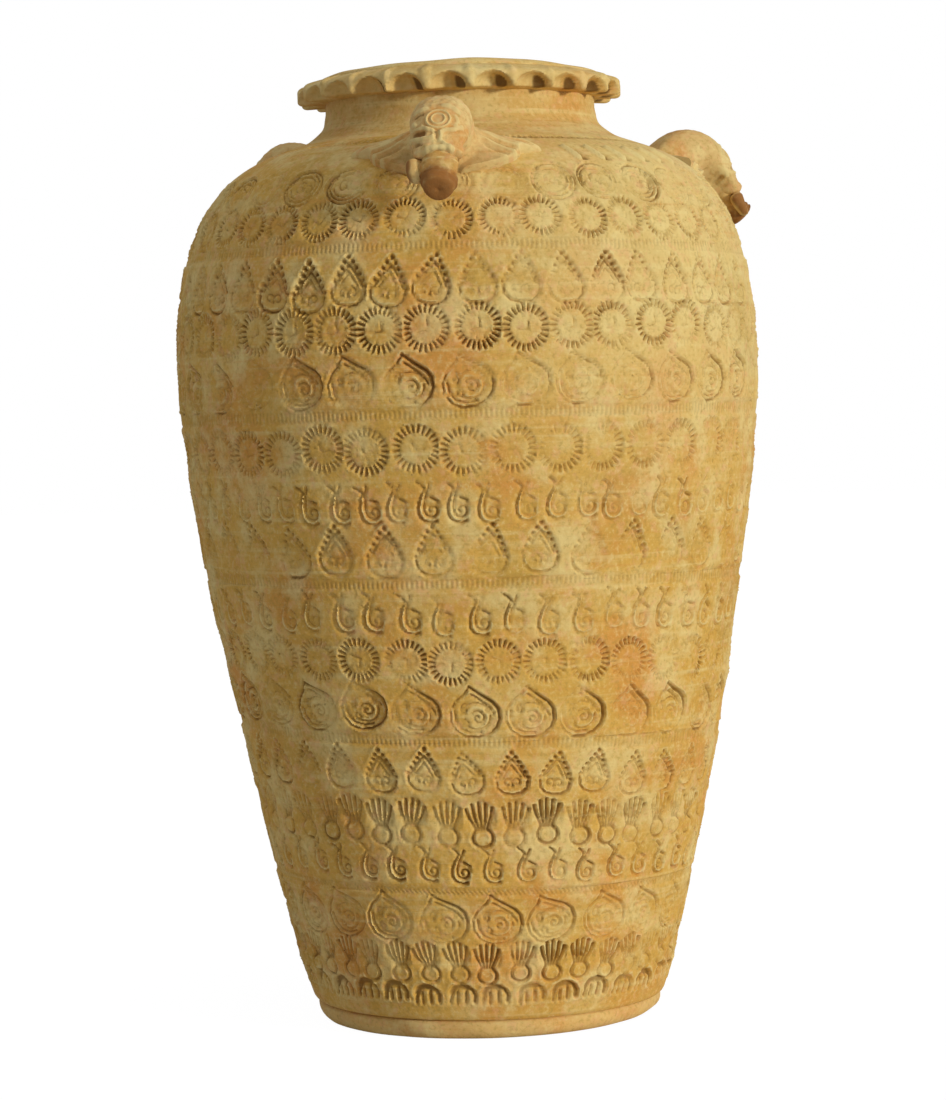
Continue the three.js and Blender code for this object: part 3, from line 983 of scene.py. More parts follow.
STAMP_ROWS = (
    StampRow(Motif.MEDALLION, 502.5, 32, 1.0, 1.0, 0, 0.9),
    StampRow(Motif.SUNBURST, 481.5, 39, 1.4, 0.95, -35, 1.15),
    StampRow(Motif.TEARDROP, 444.5, 43, -1.9, 1.15, 0, 1.1),
    StampRow(Motif.SUNBURST, 418.8, 40, 5.9, 1.04, 0, 1.1),
    StampRow(Motif.ONION, 388.5, 33, 3.6, 1.0),
    StampRow(Motif.SUNBURST, 349.3, 39, 2.7, 1.06, -85, 0.9),
    StampRow(Motif.CURL, 319.0, 59, 1.8, 1.0, 0, 0.78),
    StampRow(Motif.TEARDROP, 291.0, 35, 6.8, 1.15, 0, 0.8),
    StampRow(Motif.CURL, 254.5, 50, -2.3, 1.02, 0, 0.85),
    StampRow(Motif.SUNBURST, 227.5, 36, -1.4, 1.0, 80),
    StampRow(Motif.ONION, 198.2, 29, 2.9, 1.0),
    StampRow(Motif.TEARDROP, 161.0, 35, 1.0, 1.02),
    StampRow(Motif.PALMETTE, 132.2, 44, 3.6, 1.08, 0, 0.95),
    StampRow(Motif.CURL, 106.4, 44, -1.5, 0.9),
    StampRow(Motif.ONION, 73.4, 24, 7.6, 1.0, 0, 0.95),
    StampRow(Motif.PALMETTE, 47.4, 40, 4.8, 1.0, 0, 0.95),
    StampRow(Motif.BEAST, 28.6, 34, 6.9, 0.95, 0, 0.95),
)


@dataclass(frozen=True)
class Band:
    """A roulette band rolled over a joint: its height, its half width and how far it dips."""

    height: float
    half_width: float
    dip: float
    tick_pitch: float = 2.9
    slant: float = 0.0
    tick_rise: float = 0.55
    edge: Point = (0.5, 0.4)
    line_place: float = 0.5
    line_width: float = 0.6
    line_depth: float = 0.75
    bead_place: float = 2.0
    bead_width: float = 0.8
    bead_rise: float = 0.25

    def relief(self, turn: Array, up: Array, radius: float) -> Array:
        """Finds the relief of the band: a sunk strip of ticks, a line and a bead on each side.

        Args:
            turn: Where to look, round the jar.
            up: Where to look, as arc above the band's middle.
            radius: The wall's radius there.

        Returns:
            The height of the clay.
        """
        count = round(FULL_TURN * radius / self.tick_pitch)
        phase = turn * count + self.slant * FULL_TURN * up / self.tick_pitch
        tick = 0.5 + 0.5 * np.cos(phase)
        away = np.abs(up)
        half = self.half_width
        inside = 1 - smooth_step(away, half - self.edge[0], half + self.edge[1])
        line = self.line_depth * hump(away, half + self.line_place, self.line_width)
        bead = self.bead_rise * hump(away, half + self.bead_place, self.bead_width)
        return inside * (self.tick_rise * tick - 1) - line + bead


BANDS = (
    Band(466.0, 3.1, 2.0),
    Band(370.0, 3.2, 0.5),
    Band(273.0, 3.0, 3.0),
    Band(180.4, 3.0, 6.5),
    Band(91.3, 1.7, 3.5, 2.8, 0.9),
)

# One of the upright nicks in the line below the neck
NECK_NICK = Stroke(((0.0, -1.8), (0.0, 1.8)), 1.35, 2.4)

# A dab of the thumb goes deeper down the shoulder, and pushes up a ridge beside it
DAB_CUTS = (
    Stroke(((-2.4, 7.4), (-0.6, 2.4)), 2.2, 1.8),
    Stroke(((-0.6, 2.4), (1.2, -2.6)), 2.4, 2.8),
    Stroke(((1.2, -2.6), (2.2, -5.6)), 2.6, 3.8),
)
DAB_RIDGE = Stroke(((-6.2, 6.4), (-2.0, -6.4)), 2.4, -2.2)


@dataclass
class Ornament:
    """Everything pressed and rolled into the outside of the wall, and how uneven the wall is."""

    curve: WallCurve
    rows: tuple[StampRow, ...] = STAMP_ROWS
    bands: tuple[Band, ...] = BANDS
    row_reach: float = 18.0
    band_reach: float = 8.0
    dip_turn: float = math.radians(4)

    # How unevenly a hand sets and presses the stamps, and how time wore them
    seed: int = 20
    place_slack: float = 0.8
    lean_slack: float = math.radians(5)
    press_slack: float = 0.13
    press_limits: Point = (0.7, 1.3)
    tilt: float = 0.006
    tilt_slack: float = 0.018
    tilt_limits: Point = (0.5, 1.45)
    wear: tuple[Wave, Wave] = (Wave(0.13, 3, 37.0), Wave(1.0, 2, -53.0, 1.2))

    # The shoulder, with less room for stamps at the heads
    shoulder_from: float = 500.0
    neck_nicks: int = 204
    neck_nick_height: float = 530.4
    dab_gap: float = math.radians(6.6)
    dab_first: float = math.radians(33.5)
    dab_count: int = 6
    dab_height: float = 519.5
    head_room: float = 0.5
    head_reach: float = math.radians(4.5)
    head_rise: Point = (486.0, 496.0)

    # The slow sway of the wall, the lean of its lower part and the ripple of its coils
    sway_waves: tuple[Wave, ...] = (Wave(0.8, 2, 140.0, 0.6), Wave(0.5, 3, -85.0))
    sway_rise: Point = (16.0, 120.0)
    sway_fall: Point = (430.0, 500.0)
    lean: float = LOW_LEAN
    lean_fall: Point = (190.0, 260.0)
    coil_depth: float = 0.3
    coil_pitch: float = 7.5
    coil_wander: Wave = Wave(1.3, 1, start=0.4)
    coil_fade: Wave = Wave(1.0, 1, 61.0)
    coil_rise: Point = (16.0, 40.0)

    def laid(self, turn: Array, height: Array) -> Array:
        """Finds where the potter meant a place, since the bands dip to one side.

        Args:
            turn: Places round the jar.
            height: Their heights.

        Returns:
            The heights that were meant.
        """
        heights = [0.0, *(band.height for band in reversed(self.bands)), NECK_JOINT]
        dips = [0.0, *(band.dip for band in reversed(self.bands)), 0.0]
        return height + np.interp(height, heights, dips) * np.sin(turn - self.dip_turn)

    def _row(self, row: StampRow, number: int, turn: Array, up: Array) -> Array:
        """Finds the relief of one row of stamps.

        Args:
            row: The row.
            number: Its number from the top, which sets its chances.
            turn: Where to look, round the jar.
            up: Where to look, as arc above the row's middle.

        Returns:
            The height of the clay, and how far it stands proud of the stamps' floors.
        """
        (radius,) = self.curve.read("height", row.height, "radius")
        chance = np.random.default_rng(self.seed + number)
        slack_across, slack_up = chance.normal(0, self.place_slack, (2, row.count))
        lean = math.radians(row.lean) + chance.normal(0, self.lean_slack, row.count)
        press = np.clip(chance.normal(1, self.press_slack, row.count), *self.press_limits)
        tilt_across, tilt_up = chance.normal(self.tilt, self.tilt_slack, (2, row.count))
        pitch = FULL_TURN / row.count
        place = (turn - math.radians(row.first)) / pitch
        stamp = np.round(place).astype(int)
        pick = stamp % row.count
        across = (place - stamp) * pitch * radius - slack_across[pick]
        above = up - slack_up[pick]
        cosine, sine = np.cos(lean[pick]), np.sin(lean[pick])
        side = (across * cosine + above * sine) / row.size
        rise = (above * cosine - across * sine) / row.size
        tilted = 1 + tilt_across[pick] * across + tilt_up[pick] * above
        depth = row.press * press[pick] * np.clip(tilted, *self.tilt_limits)
        return depth * row.motif.value.relief(side, rise)

    def _shoulder(self, turn: Array, height: Array) -> Array:
        """Finds the relief of the nicked line below the neck and of the dabs beside the heads.

        Args:
            turn: Where to look, round the jar.
            height: Where to look, by height.

        Returns:
            The height of the clay.
        """
        radius, arc = self.curve.read("height", height, "radius", "arc")
        nick_arc, nick_radius = self.curve.read("height", self.neck_nick_height, "arc", "radius")
        step = FULL_TURN / self.neck_nicks
        aside = (turn / step - np.round(turn / step)) * step * nick_radius
        relief = NECK_NICK.relief(aside, arc - nick_arc)
        (dab_arc,) = self.curve.read("height", self.dab_height, "arc")
        above = arc - dab_arc
        for head in (Head.FRONT, Head.RIGHT):
            from_first = np.mod(turn - head.value.turn, FULL_TURN) - self.dab_first
            number = np.clip(np.round(from_first / self.dab_gap), 0, self.dab_count - 1)
            across = (from_first - number * self.dab_gap) * radius
            relief += np.minimum.reduce([stroke.relief(across, above) for stroke in DAB_CUTS])
            relief += DAB_RIDGE.relief(across, above)
        return relief

    def relief(self, turn: Array, height: Array) -> Array:
        """Finds how far the clay stands proud of the wall's line.

        Args:
            turn: Where to look, round the jar.
            height: Where to look, by height.

        Returns:
            The height of the clay, and how far it stands proud of the floor that a stamp left.
        """
        (arc,) = self.curve.read("height", self.laid(turn, height), "arc")
        relief = np.zeros((2, *turn.shape))
        for number, row in enumerate(self.rows):
            (middle,) = self.curve.read("height", row.height, "arc")
            near = np.abs(arc - middle) < self.row_reach
            relief[:, near] += self._row(row, number, turn[near], arc[near] - middle)
        first, second = (wave.at(turn, height) for wave in self.wear)
        relief *= 1 + first * second
        for head in Head:
            aside = np.mod(turn - head.value.turn + math.pi, FULL_TURN) - math.pi
            close = hump(aside, 0.0, self.head_reach) * smooth_step(height, *self.head_rise)
            relief *= 1 - self.head_room * close
        for band in self.bands:
            middle, radius = self.curve.read("height", band.height, "arc", "radius")
            near = np.abs(arc - middle) < self.band_reach
            relief[:, near] += band.relief(turn[near], arc[near] - middle, float(radius))
        high = height > self.shoulder_from
        relief[:, high] += self._shoulder(turn[high], height[high])
        return relief

    def sway(self, turn: Array, height: Array) -> Array:
        """Finds the slow unevenness that hands leave in a coiled wall.

        Args:
            turn: Where to look, round the jar.
            height: Where to look, by height.

        Returns:
            How far the wall stands out.
        """
        slow = sum(wave.at(turn, height) for wave in self.sway_waves)
        coils = self.coil_depth * np.sin(height / self.coil_pitch + self.coil_wander.at(turn))
        coils *= self.coil_fade.at(turn, height) * smooth_step(height, *self.coil_rise)
        lean = self.lean * np.sin(turn) * (1 - smooth_step(height, *self.lean_fall))
        return span(height, self.sway_rise, self.sway_fall) * slow + lean + coils


@dataclass
class Wall:
    """The six courses of the wall, each from one joint to the next."""

    curve: WallCurve
    ornament: Ornament
    finish: ClayFinish = BODY_CLAY
    joints: tuple[float, ...] = (FOOT_TOP, 91.3, 180.4, 273.0, 370.0, 466.0, NECK_JOINT)
    steps: int = 720
    row_gap: float = 1.5
    inner_gap: float = 7.0
    most_triangles: int = 186_000
    triangles_a_cut: float = 7.2
    least_miss: float = 0.01
    foot_round: float = 3.0
    foot_round_depth: float = 1.2
    finger_pitch: float = 26.0
    finger_depth: float = 0.8
    finger_rise: Point = (FOOT_TOP, 60.0)
    finger_fall: Point = (480.0, 520.0)
    full_depth: float = 1.9

    def course(self, bottom: float, top: float) -> Mesh:
        """Turns one plain course, and marks the edges where it meets the next ones.

        Args:
            bottom: The joint below.
            top: The joint above.

        Returns:
            The course.
        """
        outside = self.curve.outside(bottom, top, self.row_gap)
        bm = turned(outside + self.curve.inside(bottom, top, self.inner_gap), self.steps)
        for edge in bm.edges:
            first, second = (vert.co.z for vert in edge.verts)
            joint = min(abs(first - bottom), abs(first - top)) < NEAR
            if joint and abs(first - second) < NEAR:
                edge.smooth = False
        return bm

    def refine(self, bm: Mesh, bottom: float, top: float) -> None:
        """Cuts the faces finer where the ornament bends most, within the limit of triangles.

        Args:
            bm: The plain course.
            bottom: The joint below.
            top: The joint above.
        """
        radius, turn, height = from_z(corners_of(bm))
        outside = self.curve.on_outside(radius, height)
        relief = np.where(outside, self.ornament.relief(turn, height)[0], 0.0)
        bm.verts.index_update()
        faces = list(bm.faces)
        corners = np.array([[vert.index for vert in face.verts] for face in faces])
        around = relief[corners].mean(axis=1)
        middles = np.array([face.calc_center_median()[:] for face in faces])
        radius, turn, height = from_z(middles)
        outside = self.curve.on_outside(radius, height)
        miss = np.where(outside, np.abs(self.ornament.relief(turn, height)[0] - around), -1.0)
        joint = np.minimum(np.abs(height - bottom), np.abs(height - top)) < self.row_gap
        miss[outside & joint] = np.inf
        room = int((self.most_triangles - 2 * len(faces)) / self.triangles_a_cut)
        chosen = np.argsort(-miss, kind="stable")[:room]
        edges = {edge for i in chosen if miss[i] > self.least_miss for edge in faces[i].edges}
        bmesh.ops.subdivide_edges(bm, edges=list(edges), cuts=1, use_grid_fill=True)

    def dress(self, bm: Mesh) -> Array:
        """Presses the ornament into a course, and finger marks into its inside.

        Args:
            bm: The plain course.

        Returns:
            The relief of each corner, from 1 to -1.
        """
        radius, turn, height = from_z(corners_of(bm))
        outside = self.curve.on_outside(radius, height)
        out_radius, out_height = self.curve.read("height", height, "out_radius", "out_height")
        pressed, shade = self.ornament.relief(turn, height)
        rounding = np.clip(1 - (height - self.joints[0]) / self.foot_round, 0, 1) ** 2
        out = pressed + self.ornament.sway(turn, height) - self.foot_round_depth * rounding
        out = np.where(outside, out, 0.0)
        fingers = self.finger_depth * np.sin(FULL_TURN * height / self.finger_pitch + turn)
        fingers *= span(height, self.finger_rise, self.finger_fall)
        moved = np.where(outside, radius + out * out_radius, radius + fingers)
        move_corners(bm, round_z(moved, turn, height + out * out_height))
        return np.where(outside, np.clip(shade / self.full_depth, -1, 1), 0.0)

    def build(self) -> None:
        """Builds and dresses every course."""
        for number, (bottom, top) in enumerate(zip(self.joints, self.joints[1:]), 1):
            bm = self.course(bottom, top)
            self.refine(bm, bottom, top)
            relief = self.dress(bm)
            finish_piece(bm, f"wall_course_{number}", self.finish, relief)


@dataclass
class Foot:
    """The floor slab and the roll of clay round it."""

    finish: ClayFinish = FOOT_CLAY
    radius: float = 105.2
    lean: float = LOW_LEAN
    roll_width: float = 12.6
    height: float = FOOT_TOP
    floor: float = 14.0
    slip: float = 0.3
    under_rings: Point = (0.0, 0.5)
    floor_rings: tuple[float, ...] = (0.75, 0.5, 0.25, 0.0)
    under_bevel: Point = (1.5, 1.2)
    floor_bevel: Point = (2.0, 1.0)
    rounding: float = 9.0
    top_rounding: float = 2.2
    outer_from: float = 1.0
    dents: tuple[Wave, Wave, Wave] = (Wave(0.5, 5, start=0.4), Wave(1.0, 9), Wave(0.35, 17, 6.0))
    dent_shade: float = 0.3
    steps: int = 240

    def build(self) -> None:
        """Builds both pieces."""
        inner = self.radius - self.roll_width
        self._disc(inner)
        self._roll(inner)

    def _disc(self, inner: float) -> None:
        """Builds the floor slab.

        Args:
            inner: The inner radius of the roll.
        """
        side, floor = inner - self.slip, self.floor
        under = [(inner * share, 0.0) for share in self.under_rings]
        under += [(inner - self.under_bevel[0], 0.0)]
        edge = [(side, self.under_bevel[1]), (side, floor - self.floor_bevel[1])]
        over = [(inner - self.floor_bevel[0], floor)]
        over += [(inner * share, floor) for share in self.floor_rings]
        bm = turned(under + edge + over, self.steps, closed=False)
        finish_piece(bm, "base_disc", self.finish)

    def _roll(self, inner: float) -> None:
        """Builds the roll round the slab.

        Args:
            inner: The inner radius of the roll.
        """
        low, high = self.rounding, self.top_rounding
        outline = [
            (inner, 0.0),
            *sweep((self.radius - low, low), (low, low), -90, 0, count=8),
            *sweep((self.radius - high, self.height - high), (high, high), 0, 90, count=6),
            (inner, self.height),
        ]
        bm = turned(outline, self.steps)
        reach, turn, height = from_z(corners_of(bm))
        outer = smooth_step(reach, inner + self.outer_from, self.radius)
        first, second, third = (wave.at(turn, height) for wave in self.dents)
        dents = first * second + third
        moved = reach + outer * (dents + self.lean * np.sin(turn))
        move_corners(bm, round_z(moved, turn, height))
        finish_piece(bm, "foot_roll", self.finish, self.dent_shade * dents * outer)


@dataclass
class Rim:
    """The collar of the neck, the lip on it and the thumbed frill round it."""

    curve: WallCurve
    ornament: Ornament
    finish: ClayFinish = RIM_CLAY
    steps: int = 480

    # The collar, wiped level
    bottom: float = NECK_JOINT
    collar_top: float = 562.0
    collar_steps: int = 720
    collar_gap: float = 1.4
    bore: float = 71.5
    bore_gap: float = 4.0
    bevel: Point = (0.6, 1.0)
    wipe_depth: float = 0.3
    wipe_pitch: float = 1.9
    wipe_wander: Wave = Wave(1.0, 2)
    wipe_rise: Point = (NECK_JOINT, NECK_JOINT + 6)
    wipe_fall: Point = (550.0, 557.0)

    # The lip, which dips at both sides
    lip_radius: float = 86.0
    lip_under: float = 574.6
    lip_top: float = 580.0
    lip_notch: float = 1.2
    lip_waves: tuple[Wave, ...] = (Wave(0.5, 2, start=1.0), Wave(0.35, 5), Wave(0.2, 11))
    lip_drop: float = 0.7
    lip_side_drop: float = 1.9
    lip_shade: float = 0.25

    # The coil of the frill
    frill_bottom: float = 561.0
    frill_top: float = 574.5
    frill_radius: float = 98.5
    frill_rows: int = 9
    shelf_rows: int = 8
    frill_sink: float = 0.4
    frill_round: float = 3.0
    frill_tilt: float = 2.6
    frill_droop: float = 1.6
    frill_side_drop: float = 1.6
    frill_lift: float = 1.5
    frill_hem: Wave = Wave(0.5, 5)
    frill_shade: float = 0.3

    # The thumb presses: arches that slant, narrower on the right, with ridges between them
    scoops: int = 24
    scoop_turn: float = math.radians(1.2)
    scoop_seed: int = 31
    scoop_slack: float = 0.9
    scoop_change: Point = (0.85, 1.15)
    scoop_depth: float = 10.0
    scoop_half_width: float = 11.6
    scoop_sides: Point = (0.82, 1.12)
    scoop_slant: float = 1.4
    scoop_upright: float = 0.4
    scoop_foot: float = 0.97
    scoop_rise: float = 0.9
    scoop_inward: float = 1.4
    scoop_lift: float = 1.6
    scoop_ridge: Point = (0.8, 1.2)
    # Painted shadow on the right side of each thumb press, where the key lamp's shadow falls, darkest
    # where the press is deep
    painted_shadow: float = 1.7
    painted_shadow_edge: Point = (-0.1, 0.5)
    painted_shadow_depth: float = 0.4

    def build(self) -> None:
        """Builds the collar, the lip and the frill."""
        self._collar()
        self._lip()
        self._frill()

    def _collar(self) -> None:
        """Builds the short neck."""
        neck = self.curve.neck_radius
        outline = [
            *self.curve.outside(self.bottom, self.curve.neck_height, self.collar_gap),
            (neck, self.collar_top - self.bevel[1]),
            (neck - self.bevel[0], self.collar_top),
            (self.bore, self.collar_top),
            *self.curve.inside(self.bottom, self.curve.neck_height, self.bore_gap),
        ]
        bm = turned(outline, self.collar_steps)
        reach, turn, height = from_z(corners_of(bm))
        outside = self.curve.on_outside(reach, height)
        out_radius, out_height = self.curve.read("height", height, "out_radius", "out_height")
        pressed = np.where(outside, self.ornament.relief(turn, height)[0], 0.0)
        wiped = self.wipe_depth * np.sin(height / self.wipe_pitch + self.wipe_wander.at(turn))
        wiped *= span(height, self.wipe_rise, self.wipe_fall)
        out = pressed + np.where(outside, wiped, 0.0)
        move_corners(bm, round_z(reach + out * out_radius, turn, height + out * out_height))
        for edge in bm.edges:
            if all(abs(vert.co.z - self.bottom) < WELD for vert in edge.verts):
                edge.smooth = False
        finish_piece(bm, "neck_collar", self.finish, pressed)

    def _lip(self) -> None:
        """Builds the smooth rolled lip."""
        middle = (self.bore + self.lip_radius) / 2
        half = (self.lip_radius - self.bore) / 2
        neck = self.curve.neck_radius
        outline = [
            (self.bore, self.collar_top),
            (neck - self.bevel[0], self.collar_top),
            (neck, self.collar_top + self.bevel[1]),
            (neck, self.lip_under - self.lip_notch),
            *sweep((middle, self.lip_under), (half, self.lip_top - self.lip_under), 0, 180, count=16),
        ]
        bm = turned(outline, self.steps)
        reach, turn, height = from_z(corners_of(bm))
        top = smooth_step(height, self.lip_under, self.lip_top)
        waves = sum(wave.at(turn) for wave in self.lip_waves)
        sag = top * (waves - self.lip_drop - self.lip_side_drop * np.sin(turn) ** 2)
        move_corners(bm, round_z(reach, turn, height + sag))
        finish_piece(bm, "rim_lip", self.finish, self.lip_shade * top)

    def _frill(self) -> None:
        """Builds the coil pressed in by a thumb at even steps."""
        inner = self.curve.neck_radius - self.frill_sink
        edge, top, bottom = self.frill_round, self.frill_top, self.frill_bottom
        shelf = self.frill_radius - edge
        face = np.linspace(bottom + edge, top - edge, self.frill_rows)[1:-1].tolist()
        under = np.linspace(inner, shelf, self.shelf_rows)[:-1].tolist()
        over = np.linspace(shelf, inner, self.shelf_rows)[1:].tolist()
        outline = [
            *((radius, bottom) for radius in under),
            *sweep((shelf, bottom + edge), (edge, edge), -90, 0, count=6),
            *((self.frill_radius, height) for height in face),
            *sweep((shelf, top - edge), (edge, edge), 0, 90, count=6),
            *((radius, top) for radius in over),
        ]
        bm = turned(outline, self.steps)
        reach, turn, height = from_z(corners_of(bm))
        step = FULL_TURN / self.scoops
        number = np.round((turn - self.scoop_turn) / step).astype(int)
        chance = np.random.default_rng(self.scoop_seed)
        slack = chance.normal(0, self.scoop_slack, self.scoops)[number % self.scoops]
        change = chance.uniform(*self.scoop_change, self.scoops)[number % self.scoops]
        low = (top - height) / (top - bottom)
        aside = (turn - self.scoop_turn - number * step) * self.frill_radius
        aside = aside - slack - self.scoop_slant * (low - self.scoop_upright)
        outer = np.clip((reach - inner) / (self.frill_radius - inner), 0, 1)
        side = np.abs(aside) / np.where(aside > 0, *self.scoop_sides) / self.scoop_half_width
        rise = np.clip(self.scoop_foot - low, 0, 1) / self.scoop_rise
        within = np.clip(1 - side**2 - rise**2, 0, 1)
        scoop = np.sqrt(within)
        ridge = smooth_step(side, *self.scoop_ridge)
        moved = reach - self.scoop_depth * change * scoop * outer**self.scoop_inward + ridge * outer
        wave = self.frill_lift * outer * (1 - low) * (ridge - 0.5)
        wave += self.frill_hem.at(turn) * outer * low
        tilt = self.frill_tilt * (1 - outer - outer**self.frill_droop)
        wave += (tilt - self.frill_side_drop * np.sin(turn) ** 2) * (1 - low)
        lifted = height + self.scoop_lift * scoop * outer * low + wave
        move_corners(bm, round_z(moved, turn, lifted))
        # Painted shadow on the right of each press; the rest of the frill's outer face a little paler
        shadow_side = smooth_step(aside / self.scoop_half_width, *self.painted_shadow_edge)
        dark = self.painted_shadow * shadow_side * smooth_step(within, 0.0, self.painted_shadow_depth)
        finish_piece(bm, "rim_frill", self.finish, (self.frill_shade - dark) * outer)


# Lines modelled on a face, across it and down from the boss
FACE_LINES = (
    Stroke(((10.9, 2.0), (7.7, 4.2), (2.4, 5.1), (1.1, 5.8)), 1.2, -1.5),
    Stroke(((1.1, 5.8), (1.4, 9.2), (2.9, 10.6), (5.6, 12.6)), 1.4, -1.1),
    Stroke(((-0.8, 4.6), (-0.8, 11.2)), 0.9, 0.5),
    Stroke(((-2.4, 5.0), (-2.2, 10.0)), 0.9, -0.4),
    Stroke(((-12.0, 4.6), (-7.4, 5.4)), 1.9, 1.8),
    Stroke(((-11.8, 2.4), (-7.2, 3.2), (-2.4, 4.9)), 1.0, -1.2),
    Stroke(((-13.0, 5.4), (-9.6, 7.2), (-5.6, 7.8), (-2.4, 7.4)), 1.0, -1.6),
    Stroke(((-11.6, 9.0), (-8.2, 10.0)), 1.3, 1.0),
    Stroke(((-5.2, 13.2), (0.3, 12.6), (4.0, 12.8), (7.2, 13.0)), 1.2, -1.3),
    Stroke(((6.4, 8.0), (12.0, 7.4)), 4.0, 1.3),
    Stroke(((2.4, -7.0), (5.6, -6.6), (9.3, -4.6)), 1.4, -1.6),
    Stroke(((8.2, -2.4), (9.4, 0.0), (8.2, 2.4)), 0.9, -0.9),
    Stroke(((-11.4, -5.6), (-5.6, -5.8)), 1.2, -1.3),
    Stroke(((-12.0, -4.0), (-7.6, -3.6)), 1.0, 1.2),
    Stroke(((-12.4, -1.6), (-10.8, 0.8)), 1.2, -1.1),
    Stroke(((-7.6, 2.0), (-4.6, 3.8), (-0.8, 3.8)), 0.8, -0.8),
)

# The outer edge of an ear: share of the fan, distance down from the skull's back, and across
EAR_HEM = (
    (0.0, 15.0, 50.0),
    (0.05, 16.6, 57.5),
    (0.1, 17.6, 52.0),
    (0.15, 19.0, 44.0),
    (0.22, 21.5, 44.0),
    (0.4, 25.8, 41.5),
    (0.58, 28.8, 36.5),
    (0.76, 31.2, 29.0),
    (0.9, 33.8, 20.5),
    (1.0, 35.2, 10.0),
)


